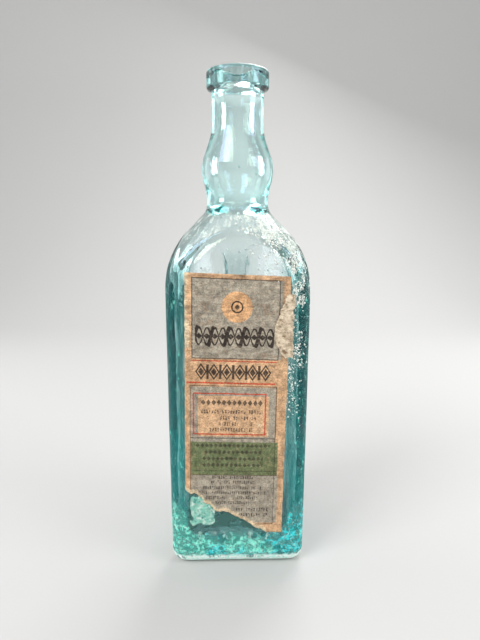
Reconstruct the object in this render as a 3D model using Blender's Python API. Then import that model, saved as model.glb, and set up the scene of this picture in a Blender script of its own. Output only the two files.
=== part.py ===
"""A three-sided essence bottle of pressed aqua glass with its worn paper label.

Units are metres and +Z is up. The bottle stands on Z = 0 with its label towards -Y, and the origin
is the centre of its footprint. The glass is one hollow shell: a rounded triangular body whose three
flat faces end in arches under a domed shoulder, a neck with a round bulge, and a collar round the
mouth. Both rear faces carry slanting ribs, which tell a hand in the dark that the bottle holds acid.
"""

import math
import random

import bmesh
import bpy
from mathutils import Vector

# Body: a rounded triangle whose faces are all this far from the neck's axis
FACE_REACH = 0.0197
CORNER_RADIUS = 0.0066
HEEL_RADIUS = 0.0052
BODY_WALL = 0.0025
INNER_CORNER_RADIUS = 0.0072
INNER_HEEL_RADIUS = 0.0090
BASE_THICKNESS = 0.0074
BEARING_WIDTH = 0.0040
PUSH_UP = 0.0022
SHARPEST_CORNER = 0.0008

# Shoulder: a slope, rounded into the body below it and into the neck above
EAVES_HEIGHT = 0.1330
SHOULDER_PITCH = math.radians(45.0)
SHOULDER_ROUND = 0.0470
SHOULDER_WALL = 0.0034
ARCH_SOFTNESS = 0.0024

# Neck, from its foot up: outer radii, the heights of its bends and their roundings
NECK_FOOT_RADIUS = 0.0127
NECK_FOOT_ROUND = 0.0060
BULGE_FOOT_HEIGHT = 0.1598
BULGE_HEIGHT = 0.1696
BULGE_PEAK_RADIUS = 0.0154
BULGE_ROUND = 0.0160
BULGE_TOP_HEIGHT = 0.1830
BULGE_BEND_ROUND = 0.0200
NECK_RADIUS = 0.0105

# Collar round the mouth
TOTAL_HEIGHT = 0.2065
COLLAR_RADIUS = 0.0124
COLLAR_DEPTH = 0.0080
COLLAR_UNDERCUT = 0.0011
COLLAR_ROUND = 0.0014

# Bore: a seat for the cork, a small ledge, then the throat, which widens behind the bulge
MOUTH_RADIUS = 0.0063
MOUTH_ROUND = 0.0008
CORK_SEAT_DEPTH = 0.0102
CORK_SEAT_TAPER = 0.0003
LEDGE_HEIGHT = 0.0022
LEDGE_ROUND = 0.0009
THROAT_RADIUS = 0.0052
BORE_BULGE_PEAK_RADIUS = 0.0099
BORE_BULGE_ROUND = 0.0100
THROAT_FOOT_ROUND = 0.0060

# Ribs across the two rear faces, rising towards the front corners
RIB_PITCH = 0.0066
RIB_SLANT = math.radians(36.0)
RIB_WIDTH = 0.0028
RIB_HEIGHT = 0.0008
RIB_ROOT = 0.0005
RIB_MARGIN = 0.0040
RIB_TIP_SHARE = 0.4
RIB_ZONE_BOTTOM = 0.0150
RIB_ZONE_TOP = 0.1130

# Paper: the label with its lower left corner torn off, and a scrap of another paper on its edge
PAPER_GAP = 0.0003
PAPER_THICKNESS = 0.0003
LABEL_SIDE_MARGIN = 0.0019
LABEL_TOP_MARGIN = 0.0165
LABEL_BOTTOM_MARGIN = 0.0166
LABEL_SHIFT = -0.0010
LABEL_TILT = math.radians(0.9)
LABEL_TOP_SKEW = 0.0011
TORN_CORNER_WIDTH = 0.0350
TORN_CORNER_HEIGHT = 0.0200
TEAR_RAGGEDNESS = 0.0011
SCRAP_WIDTH = 0.0080
SCRAP_HEIGHT = 0.0262
SCRAP_DROP = 0.0080
SCRAP_OVERHANG = 0.0022
SCRAP_TOP_SHARE = 0.5
SCRAP_DROOP = 1.3
SCRAP_RAGGEDNESS = 0.0005

# How finely round shapes are faceted
CORNER_STEPS = 6
FACE_STEPS = 8
ROUND_STEP = math.radians(15.0)
OUTER_ARCH_STEP = 0.0016
INNER_ARCH_STEP = 0.0032
HEEL_STEPS = 4
FLOOR_STEPS = 3
RIB_SIDES = 8
TEAR_STEPS = 13
SCRAP_STEPS = 8

FRONT = math.radians(-90.0)
THIRD_TURN = math.radians(120.0)
NO_LIMIT = math.inf

# What follows from the sizes above
CORNER_REACH = 2 * FACE_REACH - CORNER_RADIUS
FLAT_HALF_WIDTH = math.sqrt(3) * (FACE_REACH - CORNER_RADIUS)
ARCH_HEIGHT = EAVES_HEIGHT + (CORNER_REACH - FACE_REACH) * math.tan(SHOULDER_PITCH)
INNER_REACH = FACE_REACH - BODY_WALL
LABEL_BACK = FACE_REACH + PAPER_GAP
SCRAP_BACK = LABEL_BACK + PAPER_THICKNESS + PAPER_GAP
FRONT_REACH = SCRAP_BACK + PAPER_THICKNESS
AXIS_Y = (FRONT_REACH - CORNER_REACH) / 2


def clear_scene():
    """Remove every object, so that the script builds the same scene each time."""
    for old in list(bpy.data.objects):
        bpy.data.objects.remove(old, do_unlink=True)


def material(name, colour, roughness, transmission=0.0):
    """A Principled material without metal."""
    made = bpy.data.materials.new(name)
    made.use_nodes = True
    shader = made.node_tree.nodes["Principled BSDF"]
    shader.inputs["Base Color"].default_value = (*colour, 1.0)
    shader.inputs["Metallic"].default_value = 0.0
    shader.inputs["Roughness"].default_value = roughness
    shader.inputs["Transmission Weight"].default_value = transmission
    made.diffuse_color = (*colour, 1.0)
    return made


def add_object(name, bm, finish):
    """Make a named object of a bmesh that was drawn round the neck's axis, with its faces out."""
    bmesh.ops.recalc_face_normals(bm, faces=bm.faces)
    mesh = bpy.data.meshes.new(name)
    bm.to_mesh(mesh)
    bm.free()
    mesh.materials.append(finish)
    obj = bpy.data.objects.new(name, mesh)
    obj.location.y = AXIS_Y
    bpy.context.scene.collection.objects.link(obj)
    return obj


def arc(start, corner, end, steps):
    """Points of the circular arc from start to end whose end tangents meet at the corner."""
    weight = math.cos((corner - start).angle(end - corner) / 2)
    points = []
    for step in range(steps + 1):
        t = step / steps
        pulls = ((1 - t) ** 2, 2 * weight * t * (1 - t), t**2)
        total = start * pulls[0] + corner * pulls[1] + end * pulls[2]
        points.append(total / sum(pulls))
    return points


def rounded_path(corners, step_length):
    """Points along a turned profile whose corners are (radius, height, rounding), in order.

    Where two roundings want more than the straight side between them, both shrink to fit it.
    """
    spots = [Vector((radius, height)) for radius, height, _ in corners]
    sides = [after - before for before, after in zip(spots, spots[1:])]
    turns = [before.angle(after) for before, after in zip(sides, sides[1:])]
    wanted = [corner[2] * math.tan(turn / 2) for corner, turn in zip(corners[1:], turns)]
    wanted = [0.0] + wanted + [0.0]
    room = [side.length / max(side.length, a + b) for side, a, b in zip(sides, wanted, wanted[1:])]
    path = [spots[0]]
    for i, turn in enumerate(turns, start=1):
        cut = wanted[i] * min(room[i - 1], room[i])
        if cut == 0:
            path.append(spots[i])
            continue
        start = spots[i] - sides[i - 1].normalized() * cut
        end = spots[i] + sides[i].normalized() * cut
        steps = math.ceil(max(turn / ROUND_STEP, (end - start).length / step_length))
        path += arc(start, spots[i], end, steps)
    path.append(spots[-1])
    return path


def with_arch_steps(path, reach, step_length):
    """The path, with its slopes cut into short steps wherever flat faces meet the shoulder."""
    fine = [path[0]]
    for before, after in zip(path, path[1:]):
        steps = 1
        if max(before.x, after.x) > reach - ARCH_SOFTNESS and abs(after.x - before.x) > ARCH_SOFTNESS:
            steps = math.ceil((after - before).length / step_length)
        fine += [before.lerp(after, step / steps) for step in range(1, steps + 1)]
    return fine


def triangle_reach(angle, reach, rounding):
    """How far a rounded triangle, whose faces are this far from the axis, goes in this direction."""
    offset = abs((angle - FRONT + THIRD_TURN / 2) % THIRD_TURN - THIRD_TURN / 2)
    if math.tan(offset) * reach <= math.sqrt(3) * (reach - rounding):
        return reach / math.cos(offset)
    centre = 2 * (reach - rounding)
    aside = THIRD_TURN / 2 - offset
    return centre * math.cos(aside) + math.sqrt(rounding**2 - (centre * math.sin(aside)) ** 2)


def soft_lesser(first, second):
    """The lesser of two lengths, eased where they are nearly the same, which softens the arches' edges."""
    if abs(first - second) >= ARCH_SOFTNESS:
        return min(first, second)
    return min(first, second) - (ARCH_SOFTNESS - abs(first - second)) ** 2 / (4 * ARCH_SOFTNESS)


def spoke_angles():
    """The directions of every ring's points: even steps over each flat face and round each corner."""
    face_half = math.atan2(FLAT_HALF_WIDTH, FACE_REACH)
    corner_half = THIRD_TURN / 2 - face_half
    angles = []
    for third in range(3):
        middle = FRONT + third * THIRD_TURN
        angles += [middle + face_half * (2 * step / FACE_STEPS - 1) for step in range(FACE_STEPS)]
        angles += [middle + face_half + corner_half * 2 * step / CORNER_STEPS for step in range(CORNER_STEPS)]
    return angles


def section(height, radius, reach, rounding):
    """One ring of points: a rounded triangle, held inside a circle of this radius."""
    ring = []
    for angle in spoke_angles():
        far = soft_lesser(triangle_reach(angle, reach, rounding), radius)
        ring.append(Vector((far * math.cos(angle), far * math.sin(angle), height)))
    return ring


def inset_section(height, reach, rounding, inset):
    """One ring that runs this far inside the rounded triangle, all the way round."""
    return section(height, NO_LIMIT, reach - inset, max(rounding - inset, SHARPEST_CORNER))


def heel_rings(bottom, heel, reach, rounding):
    """Rings that turn from a flat bottom up into the walls, as a quarter round."""
    rings = []
    for step in range(HEEL_STEPS + 1):
        turn = math.pi / 2 * step / HEEL_STEPS
        height = bottom + heel * (1 - math.cos(turn))
        rings.append(inset_section(height, reach, rounding, heel * (1 - math.sin(turn))))
    return rings


def floor_rings(rim, rise):
    """Rings that close in on the axis inside this rim, domed by the rise, without the centre itself."""
    rings = []
    for step in range(FLOOR_STEPS - 1, 0, -1):
        share = step / FLOOR_STEPS
        lift = rise * (1 - share**2)
        rings.append([Vector((point.x * share, point.y * share, point.z + lift)) for point in rim])
    return rings


def outer_profile():
    """The turned outline that trims the triangle, from the body's walls up to the middle of the rim."""
    slope = math.tan(SHOULDER_PITCH)
    clear_of_body = CORNER_REACH + ARCH_SOFTNESS
    neck_foot = EAVES_HEIGHT + (CORNER_REACH - NECK_FOOT_RADIUS) * slope
    collar_bottom = TOTAL_HEIGHT - COLLAR_DEPTH
    corners = [
        (clear_of_body, HEEL_RADIUS, 0.0),
        (clear_of_body, EAVES_HEIGHT - ARCH_SOFTNESS * slope, SHOULDER_ROUND),
        (NECK_FOOT_RADIUS, neck_foot, NECK_FOOT_ROUND),
        (NECK_FOOT_RADIUS, BULGE_FOOT_HEIGHT, BULGE_BEND_ROUND),
        (BULGE_PEAK_RADIUS, BULGE_HEIGHT, BULGE_ROUND),
        (NECK_RADIUS, BULGE_TOP_HEIGHT, BULGE_BEND_ROUND),
        (NECK_RADIUS, collar_bottom, COLLAR_UNDERCUT),
        (COLLAR_RADIUS, collar_bottom + COLLAR_UNDERCUT, COLLAR_ROUND),
        (COLLAR_RADIUS, TOTAL_HEIGHT, COLLAR_ROUND),
        ((COLLAR_RADIUS + MOUTH_RADIUS) / 2, TOTAL_HEIGHT, 0.0),
    ]
    path = rounded_path(corners, OUTER_ARCH_STEP)
    return with_arch_steps(path[1:-1], FACE_REACH, OUTER_ARCH_STEP)


def inner_profile():
    """The turned outline of the bore and the inner shoulder, from the rim down to the body's walls."""
    slope = math.tan(SHOULDER_PITCH)
    clear_of_body = 2 * INNER_REACH - INNER_CORNER_RADIUS + ARCH_SOFTNESS
    eaves = EAVES_HEIGHT + (CORNER_REACH - clear_of_body) * slope - SHOULDER_WALL / math.cos(SHOULDER_PITCH)
    throat_foot = eaves + (clear_of_body - THROAT_RADIUS) * slope
    seat_bottom = TOTAL_HEIGHT - CORK_SEAT_DEPTH
    corners = [
        ((COLLAR_RADIUS + MOUTH_RADIUS) / 2, TOTAL_HEIGHT, 0.0),
        (MOUTH_RADIUS, TOTAL_HEIGHT, MOUTH_ROUND),
        (MOUTH_RADIUS - CORK_SEAT_TAPER, seat_bottom, LEDGE_ROUND),
        (THROAT_RADIUS, seat_bottom - LEDGE_HEIGHT, LEDGE_ROUND),
        (THROAT_RADIUS, BULGE_TOP_HEIGHT, BULGE_BEND_ROUND),
        (BORE_BULGE_PEAK_RADIUS, BULGE_HEIGHT, BORE_BULGE_ROUND),
        (THROAT_RADIUS, throat_foot, THROAT_FOOT_ROUND),
        (clear_of_body, eaves, SHOULDER_ROUND - SHOULDER_WALL),
        (clear_of_body, BASE_THICKNESS + INNER_HEEL_RADIUS, 0.0),
    ]
    path = rounded_path(corners, INNER_ARCH_STEP)
    return with_arch_steps(path[1:-1], INNER_REACH, INNER_ARCH_STEP)


def add_skin(bm, rings, first_centre, last_centre):
    """Add a closed skin over a row of rings, shut at both ends by a fan round a centre point."""
    loops = [[bm.verts.new(point) for point in ring] for ring in rings]
    for lower, upper in zip(loops, loops[1:]):
        for i in range(len(lower)):
            bm.faces.new((lower[i - 1], lower[i], upper[i], upper[i - 1]))
    for loop, centre in ((loops[0], first_centre), (loops[-1], last_centre)):
        tip = bm.verts.new(centre)
        for i in range(len(loop)):
            bm.faces.new((loop[i - 1], loop[i], tip))


def bottle_shell():
    """The hollow glass, in one skin from the push-up under the base, over the rim, to the floor inside."""
    heel = heel_rings(0.0, HEEL_RADIUS, FACE_REACH, CORNER_RADIUS)
    bearing = inset_section(0.0, FACE_REACH, CORNER_RADIUS, HEEL_RADIUS + BEARING_WIDTH)
    inner_heel = heel_rings(BASE_THICKNESS, INNER_HEEL_RADIUS, INNER_REACH, INNER_CORNER_RADIUS)
    rings = floor_rings(bearing, PUSH_UP)[::-1] + [bearing] + heel
    rings += [section(spot.y, spot.x, FACE_REACH, CORNER_RADIUS) for spot in outer_profile()]
    rings += [section(spot.y, spot.x, INNER_REACH, INNER_CORNER_RADIUS) for spot in inner_profile()]
    rings += inner_heel[::-1] + floor_rings(inner_heel[0], 0.0)
    bm = bmesh.new()
    add_skin(bm, rings, Vector((0, 0, PUSH_UP)), Vector((0, 0, BASE_THICKNESS)))
    return bm


def rib_lines():
    """The middle lines of one face's ribs, as (across, height) ends inside the ribbed zone."""
    half = FLAT_HALF_WIDTH - RIB_MARGIN
    slope = math.tan(RIB_SLANT)
    shortest = 2 * RIB_WIDTH
    lines = []
    for i in range(math.ceil((RIB_ZONE_TOP - RIB_ZONE_BOTTOM + 2 * half * slope) / RIB_PITCH)):
        middle = RIB_ZONE_BOTTOM - half * slope + (i + 0.5) * RIB_PITCH
        low = max(-half, (RIB_ZONE_BOTTOM - middle) / slope)
        high = min(half, (RIB_ZONE_TOP - middle) / slope)
        if (high - low) / math.cos(RIB_SLANT) > shortest:
            lines.append((Vector((low, middle + low * slope)), Vector((high, middle + high * slope))))
    return lines


def add_rib(bm, start, end, outwards, forwards):
    """Add one rib with tapered ends, whose lower part is rooted in the face."""
    up = Vector((0, 0, 1))
    run = (end - start).normalized()
    along = forwards * run.x + up * run.y
    across = outwards.cross(along)
    middle = outwards * (FACE_REACH + (RIB_HEIGHT - RIB_ROOT) / 2)
    half_depth = (RIB_HEIGHT + RIB_ROOT) / 2
    taper = run * RIB_WIDTH / 2
    rings = []
    whole = 1.0
    for spot, size in (
        (start, RIB_TIP_SHARE),
        (start + taper, whole),
        (end - taper, whole),
        (end, RIB_TIP_SHARE),
    ):
        ring = []
        for side in range(RIB_SIDES):
            turn = 2 * math.pi * side / RIB_SIDES
            offset = across * math.cos(turn) * RIB_WIDTH / 2 + outwards * math.sin(turn) * half_depth
            ring.append(middle + forwards * spot.x + up * spot.y + offset * size)
        rings.append(ring)
    add_skin(bm, rings, sum(rings[0], Vector()) / RIB_SIDES, sum(rings[-1], Vector()) / RIB_SIDES)


def ribs():
    """Every rib of the two rear faces, each a separate closed body."""
    bm = bmesh.new()
    for side in (1, -1):
        angle = FRONT + side * THIRD_TURN
        outwards = Vector((math.cos(angle), math.sin(angle), 0))
        forwards = Vector((outwards.y, -outwards.x, 0)) * side
        for start, end in rib_lines():
            add_rib(bm, start, end, outwards, forwards)
    return bm


def build_bottle():
    """The glass bottle, with the ribs joined to its rear faces."""
    glass = material("aqua_glass", (0.42, 0.74, 0.70), 0.06, transmission=0.9)
    bottle = add_object("bottle", bottle_shell(), glass)
    bottle.data.shade_smooth()
    bottle.data.set_sharp_from_angle(angle=math.radians(35))
    raised = add_object("rib_guide", ribs(), glass)
    raised.hide_render = True
    raised.display_type = "WIRE"
    join = bottle.modifiers.new("ribs", "BOOLEAN")
    join.operation = "UNION"
    join.solver = "EXACT"
    join.object = raised


def ragged(points, amount, seed):
    """The points of a torn edge, each pushed a little aside, except the first and the last."""
    chance = random.Random(seed)
    inner = [point + Vector([chance.uniform(-amount, amount) for _ in range(2)]) for point in points[1:-1]]
    return [points[0], *inner, points[-1]]


def label_outline():
    """The label's outline as (across, height), turned by its tilt, without its torn off corner."""
    half = FLAT_HALF_WIDTH - LABEL_SIDE_MARGIN
    top = ARCH_HEIGHT - LABEL_TOP_MARGIN
    bottom = LABEL_BOTTOM_MARGIN
    tear_start = Vector((-half, bottom + TORN_CORNER_HEIGHT))
    tear_end = Vector((TORN_CORNER_WIDTH - half, bottom))
    tear = [tear_start.lerp(tear_end, step / TEAR_STEPS) for step in range(TEAR_STEPS + 1)]
    outline = [Vector((half, bottom)), Vector((half, top - LABEL_TOP_SKEW)), Vector((-half, top))]
    outline += ragged(tear, TEAR_RAGGEDNESS, seed=4)
    return [turned(point, Vector((0, (top + bottom) / 2))) for point in outline]


def turned(point, pivot):
    """A point of the label's own upright outline, where it lies on the face."""
    arm = point - pivot
    lean = Vector((math.cos(LABEL_TILT), -math.sin(LABEL_TILT)))
    rise = Vector((math.sin(LABEL_TILT), math.cos(LABEL_TILT)))
    return pivot + lean * arm.x + rise * arm.y + Vector((LABEL_SHIFT, 0))


def scrap_outline():
    """The scrap's outline as (across, height): narrow on top, widest below its middle."""
    right = FLAT_HALF_WIDTH - LABEL_SIDE_MARGIN + SCRAP_OVERHANG
    top = ARCH_HEIGHT - LABEL_TOP_MARGIN - SCRAP_DROP
    left_edge = []
    for step in range(SCRAP_STEPS + 1):
        down = step / SCRAP_STEPS
        swell = math.sin(math.pi * down**SCRAP_DROOP)
        width = SCRAP_WIDTH * (SCRAP_TOP_SHARE + (1 - SCRAP_TOP_SHARE) * swell)
        left_edge.append(Vector((right - width, top - SCRAP_HEIGHT * down)))
    right_edge = [Vector((right, point.y)) for point in reversed(left_edge)]
    return ragged(left_edge, SCRAP_RAGGEDNESS, seed=7) + ragged(right_edge, SCRAP_RAGGEDNESS, seed=9)


def paper_sheet(outline, back):
    """A flat sheet of paper whose back lies this far in front of the axis."""
    bm = bmesh.new()
    face = bm.faces.new([bm.verts.new((point.x, -back, point.y)) for point in outline])
    grown = bmesh.ops.extrude_face_region(bm, geom=[face])
    moved = [item for item in grown["geom"] if isinstance(item, bmesh.types.BMVert)]
    bmesh.ops.translate(bm, verts=moved, vec=(0, -PAPER_THICKNESS, 0))
    return bm


def build_paper():
    """The printed label and the scrap of blank paper that covers part of its right edge."""
    printed = material("printed_paper", (0.50, 0.38, 0.24), 0.85)
    blank = material("blank_paper", (0.70, 0.62, 0.48), 0.9)
    add_object("front_label", paper_sheet(label_outline(), LABEL_BACK), printed)
    add_object("paper_remnant", paper_sheet(scrap_outline(), SCRAP_BACK), blank)


clear_scene()
build_bottle()
build_paper()
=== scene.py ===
"""The looks of a three-sided essence bottle: old aqua glass, a worn paper label and its scrap.

Units are metres, +Z is up and the label faces -Y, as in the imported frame. Every piece is drawn round
the neck's axis, which the frame gives, and stands where the frame's own solid stands.
"""

import functools
import logging
import math
from collections.abc import Sequence
from dataclasses import dataclass, field
from enum import Enum

import bmesh
import bpy
import numpy as np
from mathutils import Euler, Matrix, Vector, noise


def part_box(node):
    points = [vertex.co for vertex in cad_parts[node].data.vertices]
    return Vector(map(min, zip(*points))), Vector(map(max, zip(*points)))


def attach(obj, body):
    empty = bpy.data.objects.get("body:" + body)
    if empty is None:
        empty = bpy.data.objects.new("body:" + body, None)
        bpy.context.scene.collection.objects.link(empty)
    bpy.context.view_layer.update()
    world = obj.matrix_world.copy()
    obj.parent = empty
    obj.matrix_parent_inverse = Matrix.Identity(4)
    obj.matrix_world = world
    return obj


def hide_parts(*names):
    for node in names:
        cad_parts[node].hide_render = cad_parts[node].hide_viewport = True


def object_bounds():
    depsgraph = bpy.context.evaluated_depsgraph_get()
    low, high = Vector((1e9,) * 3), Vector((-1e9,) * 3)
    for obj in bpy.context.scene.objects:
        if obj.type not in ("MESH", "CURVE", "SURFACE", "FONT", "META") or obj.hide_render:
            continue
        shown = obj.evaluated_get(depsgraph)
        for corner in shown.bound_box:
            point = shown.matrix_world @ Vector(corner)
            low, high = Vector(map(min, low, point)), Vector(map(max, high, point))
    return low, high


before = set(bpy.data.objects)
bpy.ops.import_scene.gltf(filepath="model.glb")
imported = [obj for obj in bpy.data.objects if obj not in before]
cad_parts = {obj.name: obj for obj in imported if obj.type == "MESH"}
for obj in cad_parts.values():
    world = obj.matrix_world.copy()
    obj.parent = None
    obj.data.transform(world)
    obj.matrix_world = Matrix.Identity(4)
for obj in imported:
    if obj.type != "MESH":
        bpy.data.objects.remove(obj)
CAD_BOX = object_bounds()

log = logging.getLogger("essence_bottle")

MM = 0.001
ROOT = "root"

Array = np.ndarray
Triple = tuple[float, float, float]
Colour = Triple
Pair = tuple[float, float]
Object = bpy.types.Object
Material = bpy.types.Material
Tree = bpy.types.NodeTree
Socket = bpy.types.NodeSocket
Value = float | Socket
Inputs = dict[str | int, object]
Box = tuple[float, float, float, float]


class Side(Enum):
    """The bottle's three flat faces, by the direction that each one looks in, in degrees."""

    FRONT = -90.0
    RIGHT_REAR = 30.0
    LEFT_REAR = 150.0

    @property
    def outwards(self) -> Vector:
        """The direction that the face looks in."""
        turn = math.radians(self.value)
        return Vector((math.cos(turn), math.sin(turn), 0.0))


class Edge(Enum):
    """How a printed shape ends: as a filled area, or as a line along the area's outline."""

    FILLED = "filled"
    OUTLINE = "outline"


class Kind(Enum):
    """What an input of a geometry tree holds."""

    NUMBER = "NodeSocketFloat"
    WHOLE = "NodeSocketInt"
    FINISH = "NodeSocketMaterial"


class Graph:
    """Short ways to add and join the nodes of one tree."""

    def __init__(self, tree: Tree) -> None:
        """Start on an emptied tree.

        Args:
            tree: The node tree to fill; what it holds is removed.
        """
        tree.nodes.clear()
        self.tree = tree

    def add(self, kind: str, inputs: Inputs | None = None, **settings: object) -> bpy.types.Node:
        """Add one node.

        Args:
            kind: The node's type name.
            inputs: Values or sockets for its inputs, by name or number.
            settings: The node's own options.

        Returns:
            The new node.
        """
        node = self.tree.nodes.new(kind)
        for name, value in settings.items():
            setattr(node, name, value)
        for key, value in (inputs or {}).items():
            self.feed(node.inputs[key], value)
        return node

    def feed(self, socket: Socket, value: object) -> None:
        """Link a socket into an input, or set the input to a plain value."""
        if isinstance(value, Socket):
            self.tree.links.new(value, socket)
        else:
            socket.default_value = value

    def calc(self, operation: str, *values: Value) -> Socket:
        """One math node; its result's socket."""
        return self.add("ShaderNodeMath", dict(enumerate(values)), operation=operation).outputs[0]

    def folded(self, operation: str, values: Sequence[Value]) -> Value:
        """One operation over several numbers, from the first to the last."""
        return functools.reduce(lambda result, value: self.calc(operation, result, value), values)

    def times(self, *values: Value) -> Value:
        """The product of several numbers."""
        return self.folded("MULTIPLY", values)

    def plus(self, *values: Value) -> Value:
        """The sum of several numbers."""
        return self.folded("ADD", values)

    def least(self, *values: Value) -> Value:
        """The least of several numbers."""
        return self.folded("MINIMUM", values)

    def most(self, *values: Value) -> Value:
        """The greatest of several numbers."""
        return self.folded("MAXIMUM", values)

    def minus(self, value: Value, taken: Value) -> Socket:
        """A number less another."""
        return self.calc("SUBTRACT", value, taken)

    def scaled(self, value: Value, factor: Value, start: Value) -> Socket:
        """A start, and a number times a factor added to it."""
        return self.calc("MULTIPLY_ADD", value, factor, start)

    def unsigned(self, value: Value) -> Socket:
        """A number without its sign."""
        return self.calc("ABSOLUTE", value)

    def rest(self, share: Value) -> Socket:
        """What a share leaves of 1."""
        return self.minus(1.0, share)

    def ramp(self, value: Value, low: float, high: float, start: float = 0.0, end: float = 1.0) -> Socket:
        """A smooth step.

        Args:
            value: What is mapped.
            low: Where the step starts.
            high: Where it ends.
            start: The result up to low.
            end: The result from high on.

        Returns:
            The socket of the result.
        """
        inputs = {"Value": value, "From Min": low, "From Max": high, "To Min": start, "To Max": end}
        return self.add("ShaderNodeMapRange", inputs, interpolation_type="SMOOTHSTEP").outputs[0]

    def fall(self, value: Value, low: float, high: float) -> Socket:
        """A smooth step down, from 1 to 0."""
        return self.ramp(value, low, high, 1.0, 0.0)

    def mixed(self, share: Value, first: object, second: object, mode: str = "MIX") -> Socket:
        """Two colours mixed.

        Args:
            share: How much of the second shows.
            first: A colour or a socket.
            second: A colour or a socket.
            mode: The node's way of blending.

        Returns:
            The socket of the mixed colour.
        """
        colours = [(*c, 1.0) if isinstance(c, tuple) and len(c) == 3 else c for c in (first, second)]
        inputs = {0: share, 6: colours[0], 7: colours[1]}
        return self.add("ShaderNodeMix", inputs, data_type="RGBA", blend_type=mode).outputs[2]

    def grain(
        self, place: Socket, size: float, detail: float = 2.0, roughness: float = 0.5, seed: float = 0.0
    ) -> Socket:
        """Soft noise between 0 and 1.

        Args:
            place: The coordinates that it reads.
            size: About how long one of its blots is.
            detail: How many finer layers it has.
            roughness: How strong those are.
            seed: A shift that gives another pattern.

        Returns:
            The socket of the noise.
        """
        inputs = {"Vector": place, "W": seed, "Scale": 1 / size, "Detail": detail, "Roughness": roughness}
        return self.add("ShaderNodeTexNoise", inputs, noise_dimensions="4D").outputs[0]

    def stretched(self, place: Socket, scale: Triple, turn: float = 0.0) -> Socket:
        """Coordinates turned round Z and then scaled, so that a pattern gets longer one way."""
        inputs = {"Vector": place, "Rotation": (0.0, 0.0, turn), "Scale": scale}
        return self.add("ShaderNodeMapping", inputs, vector_type="POINT").outputs[0]

    def bumped(self, height: Value, distance: float, under: Socket | None = None) -> Socket:
        """A surface normal tilted by a height.

        Args:
            height: The height, from 0 to 1.
            distance: How far 1 stands above 0.
            under: A normal that it is laid over.

        Returns:
            The socket of the normal.
        """
        inputs: Inputs = {"Height": height, "Distance": distance, "Strength": 1.0}
        if under is not None:
            inputs["Normal"] = under
        return self.add("ShaderNodeBump", inputs).outputs[0]

    def place(self) -> Socket:
        """Where a point lies, in Object coordinates."""
        return self.add("ShaderNodeTexCoord").outputs["Object"]

    def stored(self, name: str, output: str = "Fac") -> Socket:
        """A number that the mesh's points carry, or the vector that they do."""
        return self.add("ShaderNodeAttribute", attribute_name=name).outputs[output]

    def grey(self, level: Socket) -> Socket:
        """A number as a grey colour."""
        return self.add("ShaderNodeCombineColor", {0: level, 1: level, 2: level}).outputs[0]

    def parts(self, vector: Socket) -> Sequence[Socket]:
        """A vector's X, Y and Z."""
        return self.add("ShaderNodeSeparateXYZ", {0: vector}).outputs

    def vector(self, x: Value, y: Value, z: Value) -> Socket:
        """A vector of three numbers."""
        return self.add("ShaderNodeCombineXYZ", {0: x, 1: y, 2: z}).outputs[0]

    def moved(self, vector: object, by: object) -> Socket:
        """The sum of two vectors."""
        return self.add("ShaderNodeVectorMath", {0: vector, 1: by}, operation="ADD").outputs[0]

    def lengthened(self, vector: object, factor: Value) -> Socket:
        """A vector times a number."""
        return self.add("ShaderNodeVectorMath", {0: vector, "Scale": factor}, operation="SCALE").outputs[0]


@dataclass(frozen=True)
class Finish:
    """A material whose tree ends in one Principled BSDF."""

    name: str

    def build(self) -> Material:
        """Make the material."""
        material = bpy.data.materials.new(self.name)
        material.use_nodes = True
        graph = Graph(material.node_tree)
        shader = graph.add("ShaderNodeBsdfPrincipled", self.shader(graph)).outputs[0]
        graph.add("ShaderNodeOutputMaterial", {"Surface": shader, **self.filling(graph)})
        return material

    def shader(self, graph: Graph) -> Inputs:
        """The shader's inputs, which each finish gives."""
        raise NotImplementedError

    def filling(self, graph: Graph) -> Inputs:
        """What fills the piece: nothing, unless a finish says so."""
        return {}


def run_tree(obj: Object, tree: Tree, values: dict[str, object]) -> None:
    """Put an object through a geometry tree and keep the result as its plain mesh.

    Args:
        obj: The object, whose mesh is replaced.
        tree: The geometry node tree.
        values: The tree's named inputs.
    """
    modifier = obj.modifiers.new(tree.name, "NODES")
    modifier.node_group = tree
    names = {item.name: item.identifier for item in tree.interface.items_tree if item.in_out == "INPUT"}
    for name, value in values.items():
        modifier[names[name]] = value
    keep_result(obj)


def keep_result(obj: Object) -> None:
    """Turn what an object's modifiers make of it into its plain mesh, and remove them."""
    bpy.context.view_layer.update()
    result = bpy.data.meshes.new_from_object(obj.evaluated_get(bpy.context.evaluated_depsgraph_get()))
    obj.modifiers.clear()
    old = obj.data
    obj.data = result
    result.name = old.name
    bpy.data.meshes.remove(old)


def geometry_tree(name: str, inputs: dict[str, Kind]) -> tuple[Graph, Sequence[Socket]]:
    """A geometry tree with one geometry in and out, and named inputs.

    Args:
        name: The tree's name.
        inputs: What each input holds, by name.

    Returns:
        The tree's graph, and the sockets of what it is given.
    """
    tree = bpy.data.node_groups.new(name, "GeometryNodeTree")
    tree.interface.new_socket("Geometry", in_out="INPUT", socket_type="NodeSocketGeometry")
    tree.interface.new_socket("Geometry", in_out="OUTPUT", socket_type="NodeSocketGeometry")
    for label, kind in inputs.items():
        tree.interface.new_socket(label, in_out="INPUT", socket_type=kind.value)
    graph = Graph(tree)
    return graph, graph.add("NodeGroupInput").outputs


def end_tree(graph: Graph, geometry: Socket, finish: Socket) -> None:
    """Close a geometry tree: realize what it instances, give it its finish and send it out."""
    real = graph.add("GeometryNodeRealizeInstances", {"Geometry": geometry}).outputs[0]
    dressed = graph.add("GeometryNodeSetMaterial", {"Geometry": real, "Material": finish}).outputs[0]
    graph.add("NodeGroupOutput", {"Geometry": dressed})


def new_object(name: str, data: bpy.types.ID) -> Object:
    """Make an object at the origin and link it into the scene."""
    obj = bpy.data.objects.new(name, data)
    bpy.context.scene.collection.objects.link(obj)
    return obj


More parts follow.
